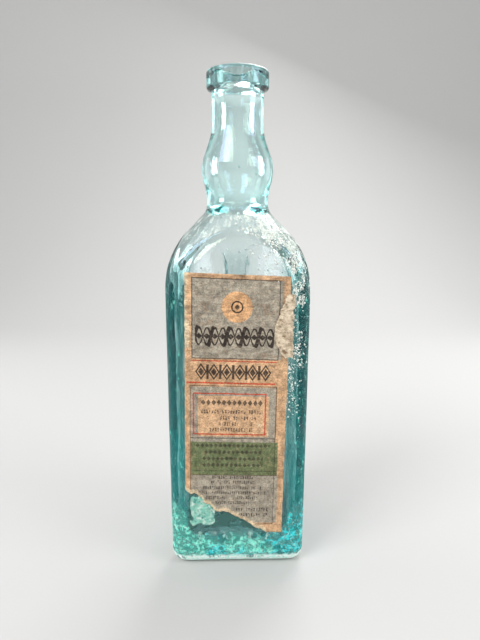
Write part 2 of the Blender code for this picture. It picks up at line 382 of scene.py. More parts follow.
def add_piece(name: str, verts: Array, faces: list[Sequence[int]], finish: Material) -> Object:
    """Make an object at the origin of points and faces, with its faces out and smoothly shaded.

    Args:
        name: The piece's name.
        verts: Its points, in the frame.
        faces: Its faces, as rows of point numbers.
        finish: Its material.

    Returns:
        The new object.
    """
    mesh = bpy.data.meshes.new(name)
    mesh.from_pydata(verts.tolist(), [], faces)
    bm = bmesh.new()
    bm.from_mesh(mesh)
    bmesh.ops.recalc_face_normals(bm, faces=bm.faces)
    bm.to_mesh(mesh)
    bm.free()
    mesh.shade_smooth()
    mesh.materials.append(finish)
    return new_object(name, mesh)


def grid_faces(rows: int, columns: int) -> list[Sequence[int]]:
    """Faces over a grid of points that are listed row by row."""
    firsts = (row * columns + column for row in range(rows - 1) for column in range(columns - 1))
    return [(i, i + 1, i + columns + 1, i + columns) for i in firsts]


def thicken(piece: Object, thickness: float) -> None:
    """Give a skin its thickness, inwards from its faces."""
    solid = piece.modifiers.new("thickness", "SOLIDIFY")
    solid.thickness = thickness
    solid.offset = -1.0
    keep_result(piece)


def keep_within(obj: Object) -> None:
    """Hold a piece's points inside the frame's box, which noise may take them out of by a hair."""
    low, high = (np.array(corner) for corner in CAD_BOX)
    points = np.empty(len(obj.data.vertices) * 3, dtype=np.float32)
    obj.data.vertices.foreach_get("co", points)
    held = np.clip(points.reshape(-1, 3), low, high).astype(np.float32)
    obj.data.vertices.foreach_set("co", held.ravel())
    obj.data.update()


def store(obj: Object, name: str, values: Array) -> None:
    """Keep one number, or one vector, for each of a mesh's points under a name."""
    vector = values.ndim == 2
    attribute = obj.data.attributes.new(name, "FLOAT_VECTOR" if vector else "FLOAT", "POINT")
    attribute.data.foreach_set("vector" if vector else "value", values.astype(np.float32).ravel())


def soft_noise(points: Array, size: float, seed: float) -> Array:
    """Smooth noise from about -1 to 1 at each point, with blots of this size."""
    shift = Vector((seed * 7.31, seed * 3.17, seed * 5.77))
    return np.array([noise.noise(Vector(point) / size + shift) for point in points])


def ridges(points: Array, size: float, seed: float) -> Array:
    """Sharp crests, from 0 between them to 1 on top, about this far apart."""
    return 1 - np.minimum(1.0, 3 * np.abs(soft_noise(points, size, seed)))


def smooth_step(values: Array, low: float, high: float) -> Array:
    """0 up to low, 1 from high on, and a smooth rise between."""
    share = np.clip((values - low) / (high - low), 0, 1)
    return share * share * (3 - 2 * share)


def rise(lengths: Array, low: float, high: float) -> Array:
    """A smooth step over lengths, from 0 at low millimetres to 1 at high ones."""
    return smooth_step(lengths, low * MM, high * MM)


def fall(lengths: Array, low: float, high: float) -> Array:
    """A smooth step over lengths, from 1 at low millimetres to 0 at high ones."""
    return 1 - rise(lengths, low, high)


def fading(lengths: Array, reach: float) -> Array:
    """1 at a length of 0 and less, fading out over about this reach."""
    return np.exp(-(lengths / reach).clip(0))


def bell(lengths: Array, reach: float) -> Array:
    """1 at a length of 0, fading out on both sides like a bell over about this reach."""
    return np.exp(-((lengths / reach) ** 2))


def blot(points: Array, centre: Pair, spread: Pair) -> Array:
    """A round blot on the front.

    Args:
        points: The places, as rows of x, y and z.
        centre: The blot's x and z.
        spread: How far it goes across and up.

    Returns:
        1 at its centre, fading out over the spread.
    """
    across = (points[:, 0] - centre[0]) / spread[0]
    up = (points[:, 2] - centre[1]) / spread[1]
    return np.exp(-(across**2 + up**2))


def upright(across: Array | float = 0.0, height: Array | float = 0.0) -> Array:
    """Places on the upright plane through the axis, as rows of x, y and z."""
    across, height = np.broadcast_arrays(across, height)
    return np.stack([across, np.zeros(across.shape), height], axis=-1).reshape(-1, 3)


@dataclass(frozen=True)
class Bend:
    """A corner of a turned outline, and the radius that it is rounded to."""

    radius: float
    height: float
    rounding: float = 0.0


def turned_outline(bends: Sequence[Bend], step: float) -> Array:
    """Points along an outline with rounded corners, as rows of radius and height.

    Args:
        bends: The corners, in order.
        step: The longest distance between two points.

    Returns:
        The points, without the outline's first and last corner.
    """
    spots = [Vector((bend.radius, bend.height)) for bend in bends]
    sides = [after - before for before, after in zip(spots, spots[1:])]
    turns = [before.angle(after) for before, after in zip(sides, sides[1:])]
    wanted = [0.0, *(bend.rounding * math.tan(turn / 2) for bend, turn in zip(bends[1:], turns)), 0.0]
    room = [side.length / max(side.length, a + b) for side, a, b in zip(sides, wanted, wanted[1:])]
    path: list[Vector] = []
    for i, turn in enumerate(turns, start=1):
        cut = wanted[i] * min(room[i - 1], room[i])
        start = spots[i] - sides[i - 1].normalized() * cut
        end = spots[i] + sides[i].normalized() * cut
        if path:
            path += even_steps(path[-1], start, step)
        steps = max(2, math.ceil((end - start).length / step), math.ceil(math.degrees(turn) / 12))
        path += arc(start, spots[i], end, steps) if cut else [spots[i]]
    return np.array([spot[:] for spot in path])


def even_steps(start: Vector, end: Vector, step: float) -> list[Vector]:
    """Points strictly between two others, no further apart than the step."""
    count = math.ceil((end - start).length / step)
    return [start.lerp(end, i / count) for i in range(1, count)]


def arc(start: Vector, corner: Vector, end: Vector, steps: int) -> list[Vector]:
    """Points of the circular arc from start to end whose end tangents meet at the corner."""
    weight = math.cos((corner - start).angle(end - corner) / 2)
    points = []
    for i in range(steps + 1):
        t = i / steps
        pulls = ((1 - t) ** 2, 2 * weight * t * (1 - t), t * t)
        points.append((start * pulls[0] + corner * pulls[1] + end * pulls[2]) / sum(pulls))
    return points


@dataclass(frozen=True)
class RoundedTriangle:
    """A plan whose three flat faces are all this far from the axis."""

    reach: float
    rounding: float
    least_rounding: float = 0.8 * MM

    def at(self, angles: Array) -> Array:
        """How far the plan goes in each direction."""
        third = 2 * math.pi / 3
        front = math.radians(Side.FRONT.value)
        offset = np.abs((angles - front + third / 2) % third - third / 2)
        centre = 2 * (self.reach - self.rounding)
        aside = centre * np.sin(third / 2 - offset)
        round_part = centre * np.cos(third / 2 - offset) + np.sqrt(np.maximum(self.rounding**2 - aside**2, 0))
        flat = np.tan(offset) * self.reach <= math.sqrt(3) * (self.reach - self.rounding)
        return np.where(flat, self.reach / np.cos(offset), round_part)

    def inset(self, amount: float) -> "RoundedTriangle":
        """The same plan, this much smaller on all sides."""
        return RoundedTriangle(self.reach - amount, max(self.rounding - amount, self.least_rounding))


@dataclass(frozen=True)
class AquaGlass(Finish):
    """Old pressed glass: clear where it is thin, deep teal where light goes far through it."""

    name: str = "aqua_glass"
    refraction: float = 1.52
    tint: Colour = (0.10, 0.895, 0.865)
    density: float = 32.0
    corner_tint: Colour = (0.006, 0.29, 0.28)
    base_tint: Colour = (0.045, 0.66, 0.62)
    crazing: float = 0.09
    sheen_roughness: float = 0.015
    haze_roughness: float = 0.16
    film_thickness: float = 330.0
    film_refraction: float = 1.45

    def shader(self, graph: Graph) -> Inputs:
        """The shader's inputs, from where the glass is worn and thick, and which way it was drawn."""
        place = graph.place()
        height = graph.parts(place)[2]
        thick = graph.stored("thick")
        blots = graph.ramp(graph.grain(place, 9 * MM, 4.0, 0.6, 1.0), 0.50, 0.72)
        pitted = graph.ramp(graph.grain(place, 0.9 * MM, 2.0, 0.6, 2.0), 0.52, 0.66)
        worn = graph.times(graph.stored("wear"), pitted)
        dulled = graph.plus(graph.times(blots, 0.35), worn)
        span = self.haze_roughness - self.sheen_roughness
        high_up = graph.ramp(height, 0.118, 0.150)
        drawn = graph.grain(graph.stored("flow", "Vector"), 0.9 * MM, 2.0, 0.5, 19.0)
        waves = graph.bumped(graph.grain(place, 7 * MM, 2.0, 0.45, 3.0), 0.22 * MM)
        waves = graph.bumped(graph.times(drawn, high_up), 0.09 * MM, waves)
        waves = self.pressed_base(graph, place, height, waves)
        chill = graph.bumped(graph.grain(place, 1.6 * MM, 2.0, 0.5, 4.0), 0.014 * MM, waves)
        deep = graph.mixed(graph.ramp(height, 0.009, 0.024), self.base_tint, self.corner_tint)
        cloudy = graph.ramp(graph.grain(place, 2.4 * MM, 4.0, 0.65, 21.0), 0.36, 0.60, 0.35, 1.0)
        return {
            "Base Color": graph.mixed(thick, (1.0, 1.0, 1.0), deep),
            "Transmission Weight": graph.scaled(graph.times(thick, cloudy), -self.crazing, 1.0),
            "IOR": self.refraction,
            "Roughness": graph.scaled(graph.least(dulled, 1.0), span, self.sheen_roughness),
            "Normal": graph.bumped(worn, 0.10 * MM, chill),
            "Thin Film Thickness": self.film_thickness,
            "Thin Film IOR": self.film_refraction,
        }

    def filling(self, graph: Graph) -> Inputs:
        """The glass's own colour, which deepens with the way that light goes in it."""
        body = {"Color": (*self.tint, 1.0), "Density": self.density}
        return {"Volume": graph.add("ShaderNodeVolumeAbsorption", body).outputs[0]}

    def pressed_base(self, graph: Graph, place: Socket, height: Socket, under: Socket) -> Socket:
        """The glass's normal with the lumps of its thick base, and the grain of its underside.

        Args:
            graph: The material's graph.
            place: The coordinates that the lumps read.
            height: How high each place is.
            under: The normal that they are laid over.

        Returns:
            The socket of the normal.
        """
        inside = graph.fall(height, 0.010, 0.034)
        beneath = graph.fall(height, 0.0008, 0.0035)
        layers = (
            (3.2 * MM, 0.80 * MM, inside, 0.0),
            (1.3 * MM, 0.34 * MM, inside, 1.7),
            (0.9 * MM, 0.30 * MM, beneath, 3.0),
        )
        for size, depth, share, seed in layers:
            inputs = {"Vector": graph.moved(place, (seed, seed, seed)), "Scale": 1 / size}
            cells = graph.add("ShaderNodeTexVoronoi", inputs, feature="F1").outputs[0]
            under = graph.bumped(graph.times(cells, share), depth, under)
        return under


@dataclass(frozen=True)
class Crust(Finish):
    """Dry pale scale, like lime, that clings to the glass in specks."""

    name: str = "pale_crust"
    light: Colour = (0.94, 0.94, 0.88)
    dark: Colour = (0.60, 0.62, 0.56)
    roughness: float = 0.7

    def shader(self, graph: Graph) -> Inputs:
        """The shader's inputs."""
        place = graph.place()
        tone = graph.ramp(graph.grain(place, 0.8 * MM, 3.0, 0.6), 0.35, 0.65)
        rough = graph.bumped(graph.grain(place, 0.15 * MM, 2.0), 0.03 * MM)
        return {
            "Base Color": graph.mixed(tone, self.dark, self.light),
            "Roughness": self.roughness,
            "Normal": rough,
        }


@dataclass(frozen=True)
class LimeBloom(Finish):
    """What lies on the glass as a thin skin: silvery, granular lime with painted highlights along the arch
    and the shoulder, the deep colour of thick places, and painted light over the base and along its foot.
    """

    name: str = "lime_bloom"
    pale: Colour = (0.86, 0.90, 0.83)
    pitted: Colour = (0.20, 0.31, 0.28)
    mint: Colour = (0.27, 0.90, 0.74)
    cyan: Colour = (0.03, 0.76, 0.80)
    jade: Colour = (0.06, 0.52, 0.42)
    teal: Colour = (0.006, 0.36, 0.35)
    deep: Colour = (0.003, 0.27, 0.262)
    deepest: Colour = (0.003, 0.135, 0.132)
    # foot: the near-white of the band along the foot, partly lime and partly painted light, the floor's light
    # seen through the base.
    foot: Colour = (0.93, 1.0, 0.96)
    cover: float = 0.74
    depth: float = 0.54
    roughness: float = 0.5

    def shader(self, graph: Graph) -> Inputs:
        """The shader's inputs, from how thick the bloom is and which way the glass was drawn."""
        place = graph.place()
        height = graph.parts(place)[2]
        fine = graph.grain(place, 0.55 * MM, 4.0, 0.75, 42.0)
        bright = graph.ramp(graph.grain(place, 2.7 * MM, 6.0, 0.80, 48.0), 0.48, 0.57)
        at_foot = graph.fall(height, 0.0040, 0.0062)
        in_base = self.in_base(graph, place)
        pitted = graph.mixed(graph.fall(height, 0.010, 0.024), self.pitted, self.mint)
        grains = graph.mixed(graph.ramp(fine, 0.38, 0.53), pitted, graph.mixed(at_foot, self.pale, self.foot))
        # Dry lime, which also carries painted highlights along the arch and shoulder and the painted light of
        # the foot's band.
        lime_and_painted_light = graph.times(self.lime_cover_and_painted_light(graph, place, fine, at_foot), graph.rest(in_base))
        # Over the base the skin's colour is painted light: lit and dim crystals and pale sparkles stand in
        # for light refracted in the thick, lumpy glass.
        painted_base_cover = graph.times(in_base, graph.scaled(bright, 0.48, 0.32))
        drawn_down = graph.grain(graph.stretched(place, (1.0, 1.0, 0.12)), 1.7 * MM, 4.0, 0.65, 51.0)
        share = graph.ramp(drawn_down, 0.38, 0.58, self.depth * 0.25, self.depth)
        stain = graph.times(graph.stored("thick"), share, graph.rest(in_base))
        over = graph.ramp(graph.minus(lime_and_painted_light, stain), -0.06, 0.06)
        above = graph.mixed(over, self.deep_glass(graph, place), grains)
        return {
            "Base Color": graph.mixed(in_base, above, self.crystals(graph, place, fine, bright)),
            "Roughness": self.roughness,
            "Specular IOR Level": 0.3,
            "Alpha": graph.plus(graph.most(lime_and_painted_light, stain), painted_base_cover),
            "Normal": graph.bumped(fine, 0.12 * MM),
        }

    def in_base(self, graph: Graph, place: Socket) -> Socket:
        """1 among the base's crystals, which are painted light, and which climb a little in the corners and
        thin out to the back.
        """
        x, y, height = graph.parts(place)
        uneven = graph.scaled(graph.grain(place, 5.0 * MM, 2.0, 0.5, 53.0), 0.014, height)
        climb = graph.ramp(graph.unsigned(x), 0.018, 0.025, 0.0, 0.013)
        below = graph.fall(graph.minus(uneven, climb), 0.0180, 0.0260)
        return graph.times(graph.ramp(height, 0.0038, 0.0062), below, graph.ramp(y, -0.018, 0.004, 1.0, 0.38))

    def lime_cover_and_painted_light(self, graph: Graph, place: Socket, fine: Socket, at_foot: Socket) -> Socket:
        """How densely the lime covers the glass, with the painted highlights along the arch and shoulder and
        the painted light of the foot's band.

        Args:
            graph: The material's graph.
            place: The coordinates that its patches read.
            fine: The lime's own grain.
            at_foot: 1 in the band along the foot.

        Returns:
            The socket of the cover.
        """
        patches = graph.ramp(graph.grain(place, 1.9 * MM, 3.0, 0.6, 43.0), 0.42, 0.56)
        drawn = graph.ramp(graph.grain(graph.stored("flow", "Vector"), 1.0 * MM, 3.0, 0.6, 44.0), 0.42, 0.58)
        amount = graph.scaled(graph.stored("bloom"), 1.1, -0.95)
        for layer, weight in ((fine, 0.5), (patches, 0.32), (drawn, 0.48), (at_foot, 0.62)):
            amount = graph.scaled(layer, weight, amount)
        return graph.times(graph.ramp(amount, 0.28, 0.88), graph.scaled(at_foot, 0.24, self.cover))

    def crystals(self, graph: Graph, place: Socket, fine: Socket, bright: Socket) -> Socket:
        """The base's crystals as painted light: lit and dim facets and pale sparkles, greener on the left and
        bluer on the right.

        Args:
            graph: The material's graph.
            place: The coordinates that they read.
            fine: The grain of the palest ones.
            bright: 1 on the bright ones.

        Returns:
            The socket of the colour.
        """
        leaning = graph.scaled(graph.parts(place)[0], 7.0, graph.grain(place, 10.0 * MM, 2.0, 0.5, 50.0))
        bluer = graph.ramp(leaning, 0.42, 0.58)
        dim, lit = graph.mixed(bluer, self.jade, self.teal), graph.mixed(bluer, self.mint, self.cyan)
        return graph.mixed(graph.ramp(fine, 0.54, 0.62), graph.mixed(bright, dim, lit), self.pale)

    def deep_glass(self, graph: Graph, place: Socket) -> Socket:
        """The colour of the thick corners, darkest higher up, with a few glints."""
        glints = graph.grain(graph.stretched(place, (1.0, 1.0, 0.35)), 1.1 * MM, 4.0, 0.7, 52.0)
        body = graph.mixed(graph.ramp(graph.parts(place)[2], 0.048, 0.085), self.deep, self.deepest)
        return graph.mixed(graph.ramp(glints, 0.57, 0.64), body, self.mint)


@dataclass
class Print:
    """The inks on a sheet, laid over each other in the sheet's own millimetres, from its top left.

    It starts with the colour of the bare paper. The strength says how much ink is left at each place.
    """

    graph: Graph
    x: Socket
    y: Socket
    colour: Socket
    strength: Socket
    softness: float = 0.12

    def lay(self, mask: Value, ink: Colour, cover: float = 1.0) -> None:
        """Lay one ink over the sheet where the mask is 1."""
        share = self.graph.times(mask, cover, self.strength)
        self.colour = self.graph.mixed(share, self.colour, ink)

    def depth_in(self, box: Box) -> Socket:
        """How deep each place lies inside a box of left, top, right and bottom."""
        left, top, right, bottom = box
        across = self.graph.unsigned(self.graph.minus(self.x, (left + right) / 2))
        down = self.graph.unsigned(self.graph.minus(self.y, (top + bottom) / 2))
        return self.graph.least(
            self.graph.minus((right - left) / 2, across),
            self.graph.minus((bottom - top) / 2, down),
        )

    def inside(self, depth: Socket) -> Socket:
        """1 where the depth is above 0, with the soft edge of old printing."""
        return self.graph.ramp(depth, -self.softness, self.softness)

    def within(self, box: Box, depth: Value) -> Socket:
        """1 where the depth is above 0 inside a box."""
        return self.graph.times(self.inside(depth), self.inside(self.depth_in(box)))

    def off_middle(self, left: float, pitch: float) -> Socket:
        """How far each place is from the middle of its step along a row, as a share of the step."""
        steps = self.graph.calc("DIVIDE", self.graph.minus(self.x, left), pitch)
        return self.graph.unsigned(self.graph.minus(self.graph.calc("FRACT", steps), 0.5))

    def area(
        self, box: Box, ink: Colour, edge: Edge = Edge.FILLED, line: float = 0.3, cover: float = 1.0
    ) -> None:
        """Print a box, filled or as an outline.

        Args:
            box: Its left, top, right and bottom.
            ink: Its colour.
            edge: Whether it is filled.
            line: The outline's width.
            cover: How densely the ink covers.
        """
        depth = self.depth_in(box)
        if edge is Edge.OUTLINE:
            depth = self.graph.minus(line / 2, self.graph.unsigned(depth))
        self.lay(self.inside(depth), ink, cover)

    def disc(self, centre: Pair, radius: float, ink: Colour) -> None:
        """Print a full disc."""
        graph = self.graph
        across, down = graph.minus(self.x, centre[0]), graph.minus(self.y, centre[1])
        far = graph.calc("SQRT", graph.plus(graph.times(across, across), graph.times(down, down)))
        self.lay(self.inside(graph.minus(radius, far)), ink)

    def lozenges(self, box: Box, pitch: float, ink: Colour, hollow: bool = False, cover: float = 1.0) -> None:
        """Print a row of lozenges that fills a box.

        Args:
            box: The row's left, top, right and bottom.
            pitch: The distance from one lozenge to the next.
            ink: Their colour.
            hollow: Whether only their outlines are printed, each round a small core.
            cover: How densely the ink covers.
        """
        graph = self.graph
        left, top, _, bottom = box
        high = graph.unsigned(graph.minus(self.y, (top + bottom) / 2))
        slanting = graph.times(self.off_middle(left, pitch), 2.2)
        size = graph.plus(slanting, graph.calc("DIVIDE", high, (bottom - top) / 2))
        depth = graph.times(graph.rest(size), min(pitch, bottom - top) / 2)
        if hollow:
            rim = graph.minus(0.42, graph.unsigned(graph.minus(depth, 0.42)))
            depth = graph.most(rim, graph.minus(depth, 1.35))
        self.lay(self.within(box, depth), ink, cover)

    def bars(self, box: Box, pitch: float, width: float, ink: Colour, cover: float = 1.0) -> None:
        """Print upright bars, evenly spaced along a box.

        Args:
            box: The row's left, top, right and bottom.
            pitch: The distance from one bar to the next.
            width: The width of a bar.
            ink: Their colour.
            cover: How densely the ink covers.
        """
        depth = self.graph.scaled(self.off_middle(box[0], pitch), -pitch, width / 2)
        self.lay(self.within(box, depth), ink, cover)

    def flourish(self, box: Box, wave: float, strand: float, ink: Colour) -> None:
        """Print a pen's flourish: a tall wave with swelling strokes, and a thin one that mirrors it.

        Args:
            box: The flourish's left, top, right and bottom.
            wave: The length of one wave.
            strand: The greatest width of a stroke.
            ink: Its colour.
        """
        graph = self.graph
        left, top, right, bottom = box
        turn = graph.times(graph.minus(self.x, left), 2 * math.pi / wave)
        down = graph.minus(self.y, (top + bottom) / 2)
        height = (bottom - top) / 2 - strand / 2
        strokes = []
        for way, thick, swell in ((1.0, 0.62, 0.38), (-1.0, 0.34, 0.10)):
            lean = graph.times(graph.calc("COSINE", turn), way * height * 2 * math.pi / wave)
            slower = graph.calc("SQRT", graph.scaled(lean, lean, 1.0))
            off = graph.unsigned(graph.scaled(graph.calc("SINE", turn), way * height, down))
            width = graph.scaled(graph.calc("COSINE", turn), swell * strand / 2, thick * strand / 2)
            strokes.append(graph.minus(width, graph.calc("DIVIDE", off, slower)))
        self.lay(self.within(box, graph.most(*strokes)), ink)
        middle = (top + bottom) / 2
        self.lozenges((left, middle - 1.2, right, middle + 1.2), wave / 2, ink)

    def small_marks(self, box: Box, ink: Colour, seed: float, cover: float = 0.8) -> None:
        """Print a row of small marks in uneven groups, which stand as close as fine print and mean nothing.

        Args:
            box: The row's left, top, right and bottom.
            ink: Their colour.
            seed: A shift that gives other groups.
            cover: How densely the ink covers.
        """
        graph = self.graph
        left, top, _, bottom = box
        pitch = 0.66 * (bottom - top)
        groups = graph.grain(graph.vector(self.x, seed * 5.3, seed), 2.4, 1.0, 0.5, seed)
        broken = graph.grain(graph.vector(self.x, self.y, seed), 0.62, 1.0, 0.5, seed)
        strokes = graph.fall(self.off_middle(left, pitch), 0.26, 0.42)
        marks = graph.times(strokes, graph.ramp(broken, 0.40, 0.50), self.inside(self.depth_in(box)))
        self.lay(graph.times(marks, graph.ramp(groups, 0.40, 0.44)), ink, cover)


@dataclass(frozen=True)
class PrintedPaper(Finish):
    """Cheap tan paper with grey and olive panels, red and dark rules, and rows of plain ornament."""

    name: str = "printed_paper"
    paper: Colour = (0.66, 0.410, 0.232)
    paper_stained: Colour = (0.44, 0.25, 0.13)
    core: Colour = (0.70, 0.55, 0.36)
    disc_orange: Colour = (0.68, 0.385, 0.19)
    grey: Colour = (0.375, 0.330, 0.258)
    olive: Colour = (0.150, 0.185, 0.085)
    red: Colour = (0.55, 0.075, 0.035)
    ink: Colour = (0.040, 0.028, 0.022)
    peeled: tuple[Box, ...] = ((-1.5, 18.5, 2.3, 30.5), (-1.0, -1.0, 1.6, 5.0), (30.7, 62.2, 32.6, 64.1))
    roughness: float = 0.82

    def shader(self, graph: Graph) -> Inputs:
        """The shader's inputs, from the sheet's own places, its torn edge and its creases."""
        sheet = graph.stored("sheet_mm", "Vector")
        torn = graph.stored("torn")
        crease = graph.stored("crease")
        x, y = self.wavering(graph, sheet)
        blots = graph.grain(sheet, 9.0, 4.0, 0.6, 5.0)
        paper = graph.mixed(graph.ramp(blots, 0.42, 0.78), self.paper, self.paper_stained)
        faded = graph.ramp(graph.grain(sheet, 1.1, 4.0, 0.65, 6.0), 0.24, 0.52, 0.62, 1.0)
        kept = graph.ramp(crease, 0.85, 1.0, 1.0, 0.80)
        design = Print(graph, x, y, paper, graph.times(faded, kept))
        self.top_panel(design)
        self.ruled_band(design)
        self.framed_panel(design)
        self.lower_panels(design)
        worn = self.worn_through(design, sheet, torn)
        colour = graph.mixed(worn, design.colour, self.core)
        grime = graph.ramp(graph.grain(sheet, 3.2, 5.0, 0.72, 7.0), 0.30, 0.70, 0.56, 1.22)
        specks = graph.ramp(graph.grain(sheet, 0.55, 3.0, 0.7, 20.0), 0.30, 0.62, 0.58, 1.16)
        # The creases are darkened a little: painted shade in the folds.
        folds = graph.ramp(crease, 0.45, 1.0, 1.0, 0.78)
        # The pleats' noise both bumps the paper and streaks its colour lighter and darker: painted light and
        # shade on the pleats, upper part only.
        pleats = graph.grain(graph.stretched(sheet, (0.20, 1.0, 1.0), -0.30), 1.3, 3.0, 0.6, 30.0)
        upper = graph.ramp(design.y, 30.0, 50.0, 1.0, 0.3)
        pleat_light_and_shade = graph.scaled(graph.minus(graph.ramp(pleats, 0.3, 0.7), 0.5), 0.34, 1.0)
        pleat_light_and_shade = graph.mixed(upper, (1.0, 1.0, 1.0), graph.grey(pleat_light_and_shade))
        # The shade factor holds real grime and specks, and the painted shade of the creases.
        shade = graph.times(grime, specks, folds)
        colour = graph.mixed(1.0, colour, graph.grey(shade), "MULTIPLY")
        colour = graph.mixed(1.0, colour, pleat_light_and_shade, "MULTIPLY")
        fibres = graph.grain(graph.stretched(sheet, (1.0, 2.4, 1.0), 0.4), 0.35, 3.0, 0.6, 8.0)
        pleated = graph.bumped(graph.times(pleats, upper), 0.42 * MM)
        crumpled = graph.bumped(graph.grain(sheet, 1.7, 3.0, 0.55, 9.0), 0.20 * MM, pleated)
        bare = graph.mixed(graph.ramp(blots, 0.4, 0.7), self.paper, self.core)
        return {
            "Base Color": self.with_back(graph, colour, bare),
            "Roughness": graph.ramp(blots, 0.3, 0.7, self.roughness - 0.08, self.roughness + 0.08),
            "Normal": graph.bumped(fibres, 0.03 * MM, crumpled),
            "Specular IOR Level": 0.3,
        }

    def wavering(self, graph: Graph, sheet: Socket) -> tuple[Socket, Socket]:
        """The sheet's millimetres across and down, a little uneven as on a hand-fed press."""
        parts = graph.parts(sheet)
        found = []
        for axis, seed in ((0, 10.0), (1, 11.0)):
            shift = graph.minus(graph.grain(sheet, 2.2, 3.0, 0.6, seed), 0.5)
            found.append(graph.scaled(shift, 0.55, parts[axis]))
        return found[0], found[1]

    def top_panel(self, design: Print) -> None:
        """The tall grey panel with its plain disc, and the flourish that runs under the disc."""
        design.area((3.0, 1.9, 40.3, 34.4), self.grey)
        design.disc((21.4, 13.0), 6.3, self.disc_orange)
        design.disc((21.4, 13.0), 2.5, self.ink)
        design.disc((21.4, 13.0), 1.9, self.disc_orange)
        design.disc((21.4, 13.0), 0.9, self.ink)
        design.area((3.0, 1.9, 38.7, 34.4), self.ink, Edge.OUTLINE, 0.42, 0.85)
        design.flourish((4.2, 20.8, 36.8, 29.6), 6.52, 1.9, self.ink)

    def ruled_band(self, design: Print) -> None:
        """The tan band between two red rules, filled by a row of bold hollow lozenges."""
        design.area((2.6, 35.2, 38.2, 35.65), self.red)
        design.lozenges((4.0, 36.5, 36.4, 43.7), 5.4, self.ink, hollow=True, cover=0.95)
        design.bars((6.7, 37.0, 33.7, 43.2), 5.4, 1.05, self.ink, cover=0.95)
        design.area((0.8, 44.5, 38.0, 45.15), self.red)
        design.area((2.2, 46.1, 38.6, 109.6), self.ink, Edge.OUTLINE, 0.3, 0.8)

    def framed_panel(self, design: Print) -> None:
        """The grey panel with a red frame and a tan block, printed a little out of register."""
        design.area((2.4, 46.5, 38.4, 71.2), self.grey)
        design.area((5.5, 50.4, 35.6, 68.4), self.paper)
        design.area((3.6, 49.4, 34.1, 67.4), self.red, Edge.OUTLINE, 0.55)
        design.lozenges((6.6, 52.0, 33.0, 54.6), 2.2, self.ink, cover=0.85)
        for top, inset in ((56.5, 6.6), (59.3, 9.0), (61.9, 10.8), (64.5, 10.2)):
            design.small_marks((inset, top, 39.4 - inset, top + 1.7), self.ink, top, 0.85)
        design.area((2.2, 69.0, 38.4, 69.35), self.ink, cover=0.8)

    def lower_panels(self, design: Print) -> None:
        """The olive band and the grey foot of the label, each with rows of small lozenges."""
        design.area((2.4, 86.3, 40.5, 109.0), self.grey)
        design.area((2.4, 70.9, 40.0, 86.2), self.olive)
        for top, inset in ((71.6, 4.4), (74.6, 8.0), (77.6, 7.2), (80.6, 7.2)):
            design.lozenges((inset, top, 40.8 - inset, top + 1.9), 1.95, self.ink, cover=0.72)
        design.area((4.0, 84.1, 39.6, 84.4), self.ink, cover=0.6)
        design.area((3.0, 86.1, 39.8, 86.45), self.ink, cover=0.7)
        for top, inset in ((86.6, 11.5), (88.8, 11.0), (91.5, 7.6), (93.9, 5.8), (96.2, 9.0), (98.6, 13.0)):
            design.small_marks((inset, top, 41.0 - inset, top + 1.45), self.ink, top, 0.8)
        for top in (101.8, 104.3):
            design.small_marks((22.0, top, 36.8, top + 1.7), self.ink, top, 0.85)
        design.area((38.5, 46.1, 38.9, 109.6), self.ink, cover=0.55)

    def worn_through(self, design: Print, sheet: Socket, torn: Socket) -> Socket:
        """1 where the printed face of the paper is gone.

        Args:
            design: The print, for its millimetres.
            sheet: The sheet's even millimetres.
            torn: 1 on the torn edge, falling inwards.

        Returns:
            The socket of the mask.
        """
        graph = design.graph
        ragged = graph.grain(sheet, 0.8, 4.0, 0.7, 12.0)
        fringe = graph.ramp(graph.scaled(ragged, 1.3, torn), 1.08, 1.22)
        worn = graph.most(fringe, graph.ramp(graph.grain(sheet, 2.4, 5.0, 0.72, 13.0), 0.685, 0.70))
        for left, top, right, bottom in self.peeled:
            depth = design.depth_in((left, top, right, bottom))
            bitten = graph.scaled(graph.minus(ragged, 0.5), 3.0, depth)
            worn = graph.most(worn, graph.ramp(bitten, 0.3, 0.5))
        return worn

    def with_back(self, graph: Graph, front: Socket, back: Socket) -> Socket:
        """The sheet's colour: printed on the side that looks away from the glass, bare on the other."""
        normal = graph.add("ShaderNodeNewGeometry").outputs["True Normal"]
        forwards = graph.parts(normal)[1]
        return graph.mixed(graph.ramp(forwards, -0.1, 0.5), front, back)


@dataclass(frozen=True)
class BlankPaper(Finish):
    """A scrap of cream paper, crumpled, with brown stains, painted shade in thin dark crumple lines and
    painted light on its raised creases.
    """

    name: str = "blank_paper"
    light: Colour = (0.84, 0.70, 0.52)
    # dark: the brown of the stains, also used for the painted shade of the crumples.
    dark: Colour = (0.27, 0.18, 0.105)
    roughness: float = 0.88

    def shader(self, graph: Graph) -> Inputs:
        """The shader's inputs, from the scrap's creases."""
        place = graph.place()
        crease = graph.stored("crease")
        blots = graph.grain(place, 2.6 * MM, 5.0, 0.68, 14.0)
        # The thin dark lines are painted shade along the crumples; the blots are brown stains.
        crumple_shade_lines = graph.grain(graph.stretched(place, (0.5, 1.0, 1.25)), 1.1 * MM, 5.0, 0.7, 45.0)
        stains_and_crumple_shade = graph.plus(graph.ramp(blots, 0.34, 0.78), graph.ramp(crumple_shade_lines, 0.49, 0.62, 0.0, 0.52))
        # The raised creases get less brown: painted light on their crests.
        stains_and_crumple_shade = graph.least(graph.scaled(crease, -0.30, stains_and_crumple_shade), 1.0)
        fibres = graph.grain(place, 0.4 * MM, 4.0, 0.65, 15.0)
        flat = graph.stretched(place, (0.55, 1.0, 1.5))
        crumple = graph.bumped(graph.grain(flat, 1.3 * MM, 5.0, 0.66, 16.0), 1.30 * MM)
        return {
            "Base Color": graph.mixed(graph.most(stains_and_crumple_shade, 0.0), self.light, self.dark),
            "Roughness": graph.ramp(blots, 0.3, 0.7, self.roughness - 0.06, self.roughness + 0.06),
            "Normal": graph.bumped(fibres, 0.05 * MM, crumple),
            "Specular IOR Level": 0.25,
        }


